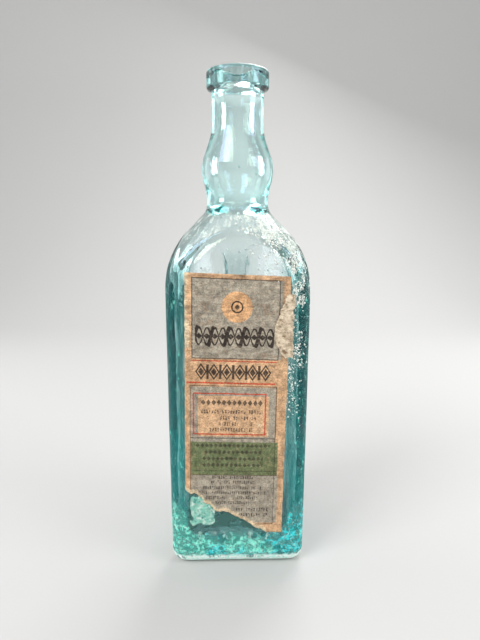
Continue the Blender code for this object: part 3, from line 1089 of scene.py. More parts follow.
@dataclass(frozen=True)
class PasteFilm(Finish):
    """The dull film of old paste where the paper has come away from the glass."""

    name: str = "paste_film"
    mint: Colour = (0.24, 0.58, 0.46)
    pale: Colour = (0.62, 0.80, 0.70)
    shaded: Colour = (0.05, 0.27, 0.23)
    dull: Colour = (0.040, 0.135, 0.120)
    roughness: float = 0.55

    def shader(self, graph: Graph) -> Inputs:
        """The shader's inputs, from where the film is lumpy, and how thin it runs out at its rim."""
        place = graph.place()
        rim = graph.stored("rim")
        lumpy = graph.stored("lumpy")
        blots = graph.grain(place, 6.5 * MM, 4.0, 0.6, 17.0)
        fine = graph.grain(place, 1.7 * MM, 5.0, 0.72, 18.0)
        crystals = graph.ramp(graph.scaled(fine, 0.7, graph.times(lumpy, 0.8)), 0.60, 0.80)
        cloud = graph.ramp(graph.scaled(fine, 0.30, blots), 0.56, 0.66, 0.30, 0.82)
        thick = graph.most(cloud, graph.times(crystals, 0.94))
        bright = graph.mixed(graph.ramp(fine, 0.46, 0.60), self.mint, self.pale)
        gaps = graph.ramp(graph.grain(place, 1.3 * MM, 4.0, 0.7, 54.0), 0.40, 0.49)
        bright = graph.mixed(gaps, self.shaded, bright)
        colour = graph.mixed(graph.times(crystals, 0.95), self.dull, bright)
        return {
            "Base Color": colour,
            "Roughness": self.roughness,
            "Alpha": graph.times(thick, graph.minus(1.0, rim)),
            "Normal": graph.bumped(fine, 0.30 * MM),
        }


def rib_tree() -> Tree:
    """The tree that presses slanting ribs out of the two rear faces."""
    face = ("Axis Y", "Face Reach", "Half Width")
    ribs = ("Pitch", "Slant", "Rib Width", "Rib Height", "Zone Bottom", "Zone Top")
    inputs = dict.fromkeys(face + ribs, Kind.NUMBER) | {"Glass": Kind.FINISH}
    graph, given = geometry_tree("moulded_ribs", inputs)
    skin_depth, taper, roundness = 0.7 * MM, 1.6 * MM, 1.3
    x, y, height = graph.parts(graph.add("GeometryNodeInputPosition").outputs[0])
    y = graph.minus(y, given["Axis Y"])
    slope = graph.calc("TANGENT", given["Slant"])
    first = graph.minus(given["Zone Bottom"], graph.times(given["Half Width"], slope))
    pushed = graph.add("ShaderNodeCombineXYZ").outputs[0]
    for side, forwards in ((Side.RIGHT_REAR, 1), (Side.LEFT_REAR, -1)):
        outwards = side.outwards
        along = Vector((outwards.y, -outwards.x, 0.0)) * forwards
        across = graph.scaled(x, along.x, graph.times(y, along.y))
        out = graph.scaled(x, outwards.x, graph.times(y, outwards.y))
        on_face = graph.calc("GREATER_THAN", out, graph.minus(given["Face Reach"], skin_depth))
        climbed = graph.minus(height, graph.scaled(across, slope, first))
        phase = graph.minus(graph.calc("FRACT", graph.calc("DIVIDE", climbed, given["Pitch"])), 0.5)
        apart = graph.times(phase, given["Pitch"], graph.calc("COSINE", given["Slant"]))
        share = graph.least(graph.unsigned(graph.calc("DIVIDE", apart, given["Rib Width"])), 0.5)
        crest = graph.calc("POWER", graph.calc("COSINE", graph.times(share, math.pi)), roundness)
        ends = graph.least(
            graph.minus(given["Half Width"], graph.unsigned(across)),
            graph.minus(height, given["Zone Bottom"]),
            graph.minus(given["Zone Top"], height),
        )
        mask = graph.times(graph.ramp(ends, 0.0, taper), on_face)
        lift = graph.times(crest, mask, given["Rib Height"])
        pushed = graph.moved(pushed, graph.lengthened(tuple(outwards), lift))
    moved = graph.add("GeometryNodeSetPosition", {"Geometry": given["Geometry"], "Offset": pushed}).outputs[0]
    end_tree(graph, moved, given["Glass"])
    return graph.tree


def scattered(graph: Graph, given: Sequence[Socket], share: str) -> Sequence[Socket]:
    """Points strewn over the tree's surface.

    Args:
        graph: The tree's graph.
        given: What the tree is given, with its Density and Seed.
        share: The name of the stored share of that density.

    Returns:
        The sockets of the points, of their normals and of their rotations.
    """
    likely = graph.add("GeometryNodeInputNamedAttribute", {"Name": share}, data_type="FLOAT").outputs[0]
    inputs = {
        "Mesh": given["Geometry"],
        "Density": graph.times(likely, given["Density"]),
        "Seed": given["Seed"],
    }
    return graph.add("GeometryNodeDistributePointsOnFaces", inputs).outputs


def random_number(graph: Graph, least: Value, greatest: Value, seed: Socket) -> Socket:
    """A random number between two others for each point."""
    inputs = {2: least, 3: greatest, "Seed": seed}
    return graph.add("FunctionNodeRandomValue", inputs, data_type="FLOAT").outputs[1]


def small_ball(graph: Graph, radius: float) -> Socket:
    """A ball of a few faces."""
    return graph.add("GeometryNodeMeshIcoSphere", {"Radius": radius, "Subdivisions": 1}).outputs[0]


def seed_tree() -> Tree:
    """The tree that leaves small bubbles inside the wall of the glass."""
    numbers = dict.fromkeys(("Density", "Depth", "Least Radius", "Greatest Radius"), Kind.NUMBER)
    graph, given = geometry_tree("glass_seeds", numbers | {"Seed": Kind.WHOLE, "Glass": Kind.FINISH})
    strewn = scattered(graph, given, "seedy")
    inwards = graph.lengthened(strewn["Normal"], graph.times(given["Depth"], -1.0))
    sunk = graph.add("GeometryNodeSetPosition", {"Geometry": strewn["Points"], "Offset": inwards}).outputs[0]
    size = random_number(graph, given["Least Radius"], given["Greatest Radius"], given["Seed"])
    hollow = graph.add("GeometryNodeFlipFaces", {"Mesh": small_ball(graph, 1.0)}).outputs[0]
    bubble = graph.add("GeometryNodeSetShadeSmooth", {"Geometry": hollow}).outputs[0]
    placed = {"Points": sunk, "Instance": bubble, "Scale": size}
    bubbles = graph.add("GeometryNodeInstanceOnPoints", placed).outputs[0]
    both = graph.add("GeometryNodeJoinGeometry")
    for geometry in (bubbles, given["Geometry"]):
        graph.feed(both.inputs[0], geometry)
    end_tree(graph, both.outputs[0], given["Glass"])
    return graph.tree


def speck_tree() -> Tree:
    """The tree that scatters flat, uneven specks over the worn places of a surface."""
    numbers = dict.fromkeys(("Density", "Least Size", "Greatest Size"), Kind.NUMBER)
    graph, given = geometry_tree("crust_specks", numbers | {"Seed": Kind.WHOLE, "Crust": Kind.FINISH})
    width, flatness, lean = 0.7, 0.3, 0.5
    strewn = scattered(graph, given, "wear")
    mostly_small = graph.calc("POWER", random_number(graph, 0.0, 1.0, given["Seed"]), 3.0)
    span = graph.minus(given["Greatest Size"], given["Least Size"])
    length = graph.scaled(mostly_small, span, given["Least Size"])
    speck = graph.add("GeometryNodeSetShadeSmooth", {"Geometry": small_ball(graph, 0.5)}).outputs[0]
    place = graph.add("GeometryNodeInputPosition").outputs[0]
    lumps = graph.add("ShaderNodeTexNoise", {"Vector": place, "Scale": 3.0, "Detail": 1.0}).outputs[1]
    uneven = graph.moved(lumps, (-0.25, -0.25, -0.25))
    speck = graph.add("GeometryNodeSetPosition", {"Geometry": speck, "Offset": uneven}).outputs[0]
    spins = {0: (0.0, 0.0, 0.0), 1: (lean, lean, math.tau), "Seed": given["Seed"]}
    spin = graph.add("FunctionNodeRandomValue", spins, data_type="FLOAT_VECTOR").outputs[0]
    turns = {0: strewn["Rotation"], 1: spin}
    placed = {
        "Points": strewn["Points"],
        "Instance": speck,
        "Rotation": graph.add("FunctionNodeRotateRotation", turns, rotation_space="LOCAL").outputs[0],
        "Scale": graph.vector(length, graph.times(length, width), graph.times(length, flatness)),
    }
    end_tree(graph, graph.add("GeometryNodeInstanceOnPoints", placed).outputs[0], given["Crust"])
    return graph.tree


@dataclass
class GlassBottle:
    """The hollow bottle: a rounded triangular body, arches under a domed shoulder, neck and collar."""

    face_reach: float = 19.7 * MM
    corner_radius: float = 6.6 * MM
    heel_radius: float = 5.2 * MM
    body_wall: float = 2.5 * MM
    inner_corner_radius: float = 7.2 * MM
    inner_heel_radius: float = 9.0 * MM
    base_thickness: float = 7.4 * MM
    bearing_width: float = 4.0 * MM
    push_up: float = 2.2 * MM
    eaves_height: float = 133.0 * MM
    shoulder_slope: float = 1.0
    shoulder_round: float = 47.0 * MM
    shoulder_wall: float = 3.4 * MM
    arch_softness: float = 2.4 * MM
    neck_foot_radius: float = 12.7 * MM
    neck_foot_round: float = 6.0 * MM
    bulge_foot: float = 159.8 * MM
    bulge_height: float = 169.6 * MM
    bulge_radius: float = 15.4 * MM
    bulge_round: float = 16.0 * MM
    bulge_top: float = 183.0 * MM
    bulge_blend: float = 20.0 * MM
    neck_radius: float = 10.5 * MM
    collar_radius: float = 12.4 * MM
    collar_depth: float = 8.0 * MM
    collar_undercut: float = 1.1 * MM
    collar_round: float = 1.4 * MM
    mouth_radius: float = 6.3 * MM
    mouth_round: float = 0.8 * MM
    cork_depth: float = 10.2 * MM
    cork_taper: float = 0.3 * MM
    ledge_drop: float = 2.2 * MM
    ledge_round: float = 0.9 * MM
    throat_radius: float = 5.2 * MM
    bore_bulge_radius: float = 9.9 * MM
    bore_bulge_round: float = 10.0 * MM
    arch_zone: Pair = (40.0 * MM, 146.0 * MM)
    arch_points: int = 60
    rib_pitch: float = 6.6 * MM
    rib_slant: float = math.radians(36.0)
    rib_width: float = 3.4 * MM
    rib_height: float = 0.8 * MM
    rib_margin: float = 4.0 * MM
    rib_zone: Pair = (15.0 * MM, 113.0 * MM)
    mould_pull: float = 0.16 * MM
    heel_lumps: float = 0.26 * MM
    seed_density: float = 0.10 / MM**2
    seed_depth: float = 1.1 * MM
    seed_radii: Pair = (0.10 * MM, 0.42 * MM)
    seed_seed: int = 11
    speck_density: float = 7.0 / MM**2
    speck_sizes: Pair = (0.14 * MM, 1.15 * MM)
    speck_seed: int = 5
    least_bloom: float = 0.06
    least_stain: float = 0.08
    bloom_gap_mm: float = 0.035
    bloom_thickness: float = 0.02 * MM
    front_steps: int = 56
    rear_steps: int = 84
    corner_steps: int = 16
    outer_step: float = 0.8 * MM
    inner_step: float = 1.0 * MM
    rib_ring_step: float = 0.62 * MM
    rib_ring_margin: float = 2.0 * MM
    ring_gap: float = 0.5 * MM
    heel_rings: int = 9
    push_up_rings: int = 9
    rings_over_heel: Pair = (7.5 * MM, 10.0 * MM)
    inner_heel_rings: int = 12
    floor_rings: int = 8
    wall_rings: int = 42
    wall_top: float = 118.0 * MM
    glass: AquaGlass = field(default_factory=AquaGlass)
    crust: Crust = field(default_factory=Crust)
    lime: LimeBloom = field(default_factory=LimeBloom)

    def __post_init__(self) -> None:
        """Work out what follows from the sizes and the frame."""
        low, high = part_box("bottle")
        self.axis = Vector((0.0, low.y + self.face_reach, 0.0))
        self.total_height = high.z
        self.plan = RoundedTriangle(self.face_reach, self.corner_radius)
        self.inner_plan = RoundedTriangle(self.face_reach - self.body_wall, self.inner_corner_radius)
        self.corner_reach = 2 * self.face_reach - self.corner_radius
        self.flat_half = math.sqrt(3) * (self.face_reach - self.corner_radius)

    def build(self) -> list[Object]:
        """Make the bottle, and the crust and the bloom on it."""
        glass = self.glass.build()
        verts, faces, outer = self.skin()
        bottle = add_piece("glass_bottle", verts + np.array(self.axis), faces, glass)
        self.mark_wear(bottle, verts, outer)
        specks = self.specks(bottle)
        bloom = self.bloom(bottle)
        self.press_ribs(bottle, glass)
        self.blow_seeds(bottle, glass)
        keep_within(bottle)
        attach(bottle, ROOT)
        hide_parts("bottle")
        return [bottle, specks, bloom]

    def press_ribs(self, bottle: Object, glass: Material) -> None:
        """Raise the slanting ribs on the two rear faces."""
        sizes = {
            "Axis Y": self.axis.y,
            "Face Reach": self.face_reach,
            "Half Width": self.flat_half - self.rib_margin,
            "Pitch": self.rib_pitch,
            "Slant": self.rib_slant,
            "Rib Width": self.rib_width,
            "Rib Height": self.rib_height,
            "Zone Bottom": self.rib_zone[0],
            "Zone Top": self.rib_zone[1],
            "Glass": glass,
        }
        run_tree(bottle, rib_tree(), sizes)

    def blow_seeds(self, bottle: Object, glass: Material) -> None:
        """Leave small bubbles in the wall."""
        least, greatest = self.seed_radii
        strewn = {"Density": self.seed_density, "Depth": self.seed_depth, "Seed": self.seed_seed}
        radii = {"Least Radius": least, "Greatest Radius": greatest}
        run_tree(bottle, seed_tree(), strewn | radii | {"Glass": glass})

    def outer_outline(self, step: float) -> Array:
        """The outline that trims the body's triangle, from above the heel to the middle of the rim."""
        clear = self.corner_reach + self.arch_softness
        foot = self.eaves_height + (self.corner_reach - self.neck_foot_radius) * self.shoulder_slope
        collar = self.total_height - self.collar_depth
        bends = [
            Bend(clear, self.heel_radius),
            Bend(clear, self.eaves_height - self.arch_softness * self.shoulder_slope, self.shoulder_round),
            Bend(self.neck_foot_radius, foot, self.neck_foot_round),
            Bend(self.neck_foot_radius, self.bulge_foot, self.bulge_blend),
            Bend(self.bulge_radius, self.bulge_height, self.bulge_round),
            Bend(self.neck_radius, self.bulge_top, self.bulge_blend),
            Bend(self.neck_radius, collar, self.collar_undercut),
            Bend(self.collar_radius, collar + self.collar_undercut, self.collar_round),
            Bend(self.collar_radius, self.total_height, self.collar_round),
            Bend((self.collar_radius + self.mouth_radius) / 2, self.total_height),
        ]
        return turned_outline(bends, step)

    def inner_outline(self, step: float) -> Array:
        """The outline of the bore and the inner shoulder, from the rim down to the body's walls."""
        clear = 2 * self.inner_plan.reach - self.inner_plan.rounding + self.arch_softness
        drop = self.shoulder_wall / math.cos(math.atan(self.shoulder_slope))
        eaves = self.eaves_height + (self.corner_reach - clear) * self.shoulder_slope - drop
        foot = eaves + (clear - self.throat_radius) * self.shoulder_slope
        seat = self.total_height - self.cork_depth
        bends = [
            Bend((self.collar_radius + self.mouth_radius) / 2, self.total_height),
            Bend(self.mouth_radius, self.total_height, self.mouth_round),
            Bend(self.mouth_radius - self.cork_taper, seat, self.ledge_round),
            Bend(self.throat_radius, seat - self.ledge_drop, self.ledge_round),
            Bend(self.throat_radius, self.bulge_top, self.bulge_blend),
            Bend(self.bore_bulge_radius, self.bulge_height, self.bore_bulge_round),
            Bend(self.throat_radius, foot, self.neck_foot_round),
            Bend(clear, eaves, self.shoulder_round - self.shoulder_wall),
            Bend(clear, self.base_thickness + self.inner_heel_radius),
        ]
        return turned_outline(bends, step)

    def spokes(self) -> Array:
        """The directions of a fine ring's points, evenly spaced along each flat face and corner."""
        face_half = math.atan2(self.flat_half, self.face_reach)
        corner = 2 * (math.pi / 3 - face_half)
        rows = []
        for side in Side:
            steps = self.front_steps if side is Side.FRONT else self.rear_steps
            middle = math.radians(side.value)
            flat = np.arange(steps) / steps * 2 - 1
            rows.append(middle + np.arctan(flat * math.tan(face_half)))
            rows.append(middle + face_half + corner * np.arange(self.corner_steps) / self.corner_steps)
        return np.concatenate(rows)

    def ring(self, spokes: Array, height: float, radius: float, plan: RoundedTriangle) -> Array:
        """One ring of points: the plan, held softly inside a circle of this radius."""
        flat = plan.at(spokes)
        near = np.maximum(self.arch_softness - np.abs(flat - radius), 0)
        far = np.minimum(flat, radius) - near**2 / (4 * self.arch_softness)
        return np.stack([far * np.cos(spokes), far * np.sin(spokes), np.full(len(spokes), height)], axis=1)

    def heel(
        self, spokes: Array, bottom: float, radius: float, plan: RoundedTriangle, steps: int
    ) -> list[Array]:
        """Rings that turn from a flat bottom up into the walls.

        Args:
            spokes: The directions of a ring's points.
            bottom: The height of the flat bottom.
            radius: How round the heel is.
            plan: The walls' plan.
            steps: How many rings the turn takes.

        Returns:
            The rings, from the bottom up.
        """
        rings = []
        for i in range(steps + 1):
            turn = math.pi / 2 * i / steps
            height = bottom + radius * (1 - math.cos(turn))
            rings.append(self.ring(spokes, height, math.inf, plan.inset(radius * (1 - math.sin(turn)))))
        return rings

    def dome(self, rim: Array, height: float, steps: int) -> list[Array]:
        """Rings from near the axis out to a rim, domed by this height."""
        rings = []
        for i in range(1, steps):
            share = i / steps
            rings.append(rim * [share, share, 1.0] + [0.0, 0.0, height * (1 - share**2)])
        return rings

    def skin(self) -> tuple[Array, list[Sequence[int]], Array]:
        """The bottle's whole skin, from the push-up over the rim to the floor inside.

        Returns:
            Its points round the axis, its faces, and for each point whether it lies outside.
        """
        outside = [self.uneven_outside(ring) for ring in self.outside_rings()]
        inside = [self.uneven_inside(ring) for ring in self.inside_rings()]
        tips = np.array([Vector((0, 0, self.push_up)), Vector((0, 0, self.base_thickness))])
        verts = np.concatenate([*outside, *inside, tips])
        is_outer = np.arange(len(verts)) < sum(len(ring) for ring in outside)
        return verts, self.skin_faces([len(ring) for ring in outside + inside], len(verts)), is_outer

    def outside_rings(self) -> list[Array]:
        """Rings from the push-up under the base up to the rim, finer where the ribs are pressed."""
        fine = self.spokes()
        coarse = fine[::2]
        outline = self.outer_outline(self.outer_step)
        bottom, top = self.rib_zone[0] - self.rib_ring_margin, self.rib_zone[1] + self.rib_ring_margin
        ribbed = np.linspace(bottom, top, round((top - bottom) / self.rib_ring_step) + 1)
        bearing = self.ring(coarse, 0.0, math.inf, self.plan.inset(self.heel_radius + self.bearing_width))
        return [
            *self.dome(bearing, self.push_up, self.push_up_rings),
            bearing,
            *self.heel(coarse, 0.0, self.heel_radius, self.plan, self.heel_rings),
            *(self.ring(coarse, height, math.inf, self.plan) for height in self.rings_over_heel),
            *self.rings_at(fine, outline, self.plan, ribbed),
            *self.rings_above(coarse, outline, self.plan, top + self.ring_gap),
        ]

    def inside_rings(self) -> list[Array]:
        """Rings from the rim down the bore and the walls to the floor of the cavity."""
        coarse = self.spokes()[::2]
        plan = self.inner_plan
        outline = self.inner_outline(self.inner_step)
        walls = np.linspace(self.wall_top, self.base_thickness + self.inner_heel_radius, self.wall_rings)
        heel = self.heel(coarse, self.base_thickness, self.inner_heel_radius, plan, self.inner_heel_rings)
        return [
            *self.rings_above(coarse, outline, plan, self.wall_top),
            *self.rings_at(coarse, outline, plan, walls[:-1]),
            *heel[::-1],
            *self.dome(heel[0], 0.0, self.floor_rings)[::-1],
        ]

    def rings_above(
        self, spokes: Array, outline: Array, plan: RoundedTriangle, least: float
    ) -> list[Array]:
        """A ring at each of an outline's points that lies above the least height."""
        return [self.ring(spokes, height, radius, plan) for radius, height in outline if height > least]

    def rings_at(self, spokes: Array, outline: Array, plan: RoundedTriangle, heights: Array) -> list[Array]:
        """A ring at each of these heights, held inside the outline."""
        return [self.ring(spokes, height, self.radius_at(outline, height), plan) for height in heights]

    def skin_faces(self, counts: list[int], total: int) -> list[Sequence[int]]:
        """Faces between rings of these lengths, shut at both ends by a fan round a last point."""
        starts = np.concatenate([[0], np.cumsum(counts)])
        faces: list[Sequence[int]] = []
        for a, b, here, there in zip(counts, counts[1:], starts, starts[1:]):
            if a == b:
                faces += [(here + i, here + (i + 1) % a, there + (i + 1) % a, there + i) for i in range(a)]
                continue
            few, low, high = min(a, b), *((here, there) if a < b else (there, here))
            for i in range(few):
                j = (i + 1) % few
                mid = high + 2 * i + 1
                faces.append((low + i, high + 2 * i, mid))
                faces.append((low + i, mid, low + j))
                faces.append((low + j, mid, high + 2 * j))
        for start, count, tip in ((starts[0], counts[0], total - 2), (starts[-2], counts[-1], total - 1)):
            faces += [(start + i, start + (i + 1) % count, tip) for i in range(count)]
        return [tuple(int(i) for i in face) for face in faces]

    def radius_at(self, outline: Array, height: float) -> float:
        """An outline's radius at a height below the neck, where it only widens downwards."""
        low_first = outline[np.argsort(outline[:, 1])]
        return float(np.interp(height, low_first[:, 1], low_first[:, 0]))

    def uneven_outside(self, ring: Array) -> Array:
        """A ring of the outer skin, pulled in a little here and there, as a mould leaves it."""
        pull = self.mould_pull * (0.5 + 0.5 * soft_noise(ring, 14 * MM, 1.0))
        lumps = self.heel_lumps * (0.5 + 0.5 * soft_noise(ring, 3.0 * MM, 8.0))
        return self.drawn_in(ring, pull + fall(ring[:, 2], 4, 22) * lumps)

    def uneven_inside(self, ring: Array) -> Array:
        """A ring of the inner skin, with the waves and the lumpy floor that blowing leaves."""
        height = ring[:, 2]
        in_body = fall(height, 120, 150)
        waves = soft_noise(ring * [1, 1, 0.6], 11 * MM, 2.0)
        ring = self.drawn_in(ring, waves * MM * (0.10 + 0.32 * in_body))
        low = 1 - smooth_step(height, self.base_thickness + 1 * MM, self.base_thickness + 12 * MM)
        tall = ring * [1, 1, 0.3]
        lumps = soft_noise(tall, 7 * MM, 3.0) + 0.8 * soft_noise(tall, 2.8 * MM, 4.0)
        ring[:, 2] += low * lumps * 1.1 * MM
        return ring

    def drawn_in(self, ring: Array, amount: Array) -> Array:
        """A ring with each point moved towards the axis by an amount."""
        moved = ring.copy()
        far = np.maximum(np.hypot(ring[:, 0], ring[:, 1]), 1e-6)
        moved[:, :2] *= (1 - np.minimum(amount / far, 0.5))[:, None]
        return moved

    def mark_wear(self, bottle: Object, verts: Array, outer: Array) -> None:
        """Store where the glass is bruised and crusted, and where it holds bubbles."""
        gaps = self.from_arch(verts)
        front = rise(-verts[:, 1], 7, 11) * outer
        patchy = smooth_step(soft_noise(verts, 5 * MM, 5.0), -0.35, 0.25)
        band = bell(gaps, 2.6 * MM) * front * patchy * rise(verts[:, 2], 55, 105)
        dusted = blot(verts, (12 * MM, 136 * MM), (8 * MM, 8 * MM))
        dusted *= front * smooth_step(soft_noise(verts, 2.5 * MM, 6.0), -0.2, 0.5)
        shoulder = blot(verts, (14 * MM, 137 * MM), (9 * MM, 11 * MM))
        store(bottle, "wear", np.clip(np.maximum(band, 0.22 * dusted), 0, 1))
        store(bottle, "outside", outer.astype(np.float32))
        store(bottle, "thick", self.thick_at(verts, outer))
        store(bottle, "bloom", self.bloom_at(verts, gaps, front) * outer)
        store(bottle, "flow", self.flow_at(verts))
        store(bottle, "seedy", np.clip((0.12 + 1.6 * shoulder * front) * outer, 0, 2))

    def from_arch(self, verts: Array) -> Array:
        """How far each point is from the edge of the front's arch, seen from the front."""
        heights = np.linspace(*self.arch_zone, self.arch_points)
        outline = self.outer_outline(self.outer_step)
        radii = np.array([self.radius_at(outline, height) for height in heights])
        edge = np.minimum(np.sqrt(np.maximum(radii**2 - self.face_reach**2, 0)), self.flat_half)
        arch = np.stack([edge, heights], axis=1)
        return np.linalg.norm(verts[:, None, [0, 2]] - arch[None], axis=2).min(axis=1)

    def flow_at(self, verts: Array) -> Array:
        """Places for a pattern that is drawn up and in along the glass, as it was when it was hot."""
        far = np.maximum(np.hypot(verts[:, 0], verts[:, 1]), 1 * MM)
        way = verts[:, :2] / far[:, None] * 12 * MM
        return np.column_stack([way, verts[:, 2] * 0.12])

    def thick_at(self, verts: Array, outer: Array) -> Array:
        """Where the glass is thick enough for its colour to show: in the corners, the base and the collar.

        Args:
            verts: The points, round the axis.
            outer: Whether each one lies outside.

        Returns:
            The depth of colour, from 0 to 1.
        """
        x, y, z = verts.T
        far = np.hypot(x, y)
        corner = np.where(outer, rise(far, 27.4, 31.4), rise(far, 22.6, 25.4))
        corner *= (1 - 0.5 * rise(z, 112, 146)) * (1 - 0.75 * rise(y, 4, 12))
        base = 0.7 * fall(z, 6, 20)
        collar = 0.35 * rise(z, 198.2, 199.6) * rise(far, 11.0, 12.2)
        uneven = 0.8 + 0.2 * soft_noise(verts, 6 * MM, 12.0)
        return np.clip(np.maximum.reduce([corner, base, collar]) * uneven, 0, 1)

    def bloom_at(self, verts: Array, gaps: Array, front: Array) -> Array:
        """How thick the lime's bloom is at each point: most along the arch and on the right shoulder, where
        it also paints highlights, and along the foot, where it also paints the floor's light seen through the
        base.

        Args:
            verts: The points, round the axis.
            gaps: How far each one is from the arch's edge, seen from the front.
            front: 1 on the front of the bottle.

        Returns:
            The bloom, from 0 to 1.
        """
        x, y, z = verts.T
        right = rise(x, -6, 12)
        # Along the arch's edge the bloom is lime and a painted highlight on the rounded edge; on the
        # shoulder, lime and painted streaky highlights.
        along_arch = bell(gaps, 2.4 * MM) * front * rise(z, 84, 120)
        rounded = rise(y, -19.6, -18.6) * fall(y, -8, 2)
        shoulder = rounded * rise(z, 100, 122) * fall(z, 150, 157)
        above = rise(z, 136, 146)
        corner = rounded * rise(z, 70, 104) * fall(z, 104, 122)
        # Under the bottle and in the band along its foot the bloom is lime and painted light: the floor's
        # light seen through the base.
        under = fall(z, 0.9, 2.4)
        waving = z + 1.1 * MM * soft_noise(verts, 3.4 * MM, 10.0)
        aside = np.abs(x - 0.5 * MM) + 2.0 * MM * soft_noise(verts, 4 * MM, 11.0)
        foot = fall(waving, 2.6, 4.6) * (0.55 + 0.45 * rise(-y, 7, 14)) * (1 - 0.6 * rise(aside, 17, 24))
        # The base's share keeps the skin over the base, where it carries the painted crystals of light.
        base = np.maximum(0.45 * fall(z, 15, 20), 0.12 * fall(z, 30, 34) * rise(np.abs(x), 16, 19))
        patches = 0.60 + 0.40 * smooth_step(soft_noise(verts, 4.5 * MM, 9.0), -0.3, 0.3)
        on_shoulder = shoulder * (0.34 + 0.24 * above + 0.46 * right)
        on_corner = corner * (0.08 + 0.20 * right)
        thick = np.maximum.reduce([along_arch * (0.62 + 0.30 * right), on_shoulder, on_corner])
        return np.clip(np.maximum.reduce([thick * patches, 0.9 * under, foot, base]), 0, 1)

    def bloom(self, bottle: Object) -> Object:
        """The bloom, a thin skin on the glass wherever the glass carries any of it."""
        mesh = bottle.data.copy()
        bm = bmesh.new()
        bm.from_mesh(mesh)
        lime, thick, outside = (bm.verts.layers.float[name] for name in ("bloom", "thick", "outside"))
        shown = {vert.index for vert in bm.verts if vert[lime] >= self.least_bloom}
        shown |= {vert.index for vert in bm.verts if vert[thick] >= self.least_stain and vert[outside] > 0.5}
        bare = [face for face in bm.faces if shown.isdisjoint(vert.index for vert in face.verts)]
        bmesh.ops.delete(bm, geom=bare, context="FACES")
        for vert in bm.verts:
            vert.co += vert.normal * self.bloom_gap_mm * MM
        bm.to_mesh(mesh)
        bm.free()
        mesh.materials.clear()
        mesh.materials.append(self.lime.build())
        bloom = new_object("lime_bloom", mesh)
        thicken(bloom, self.bloom_thickness)
        keep_within(bloom)
        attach(bloom, ROOT)
        return bloom

    def specks(self, bottle: Object) -> Object:
        """The crust, scattered over the worn places."""
        specks = new_object("crust_specks", bottle.data.copy())
        least, greatest = self.speck_sizes
        sizes = {"Density": self.speck_density, "Seed": self.speck_seed, "Crust": self.crust.build()}
        run_tree(specks, speck_tree(), sizes | {"Least Size": least, "Greatest Size": greatest})
        keep_within(specks)
        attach(specks, ROOT)
        return specks


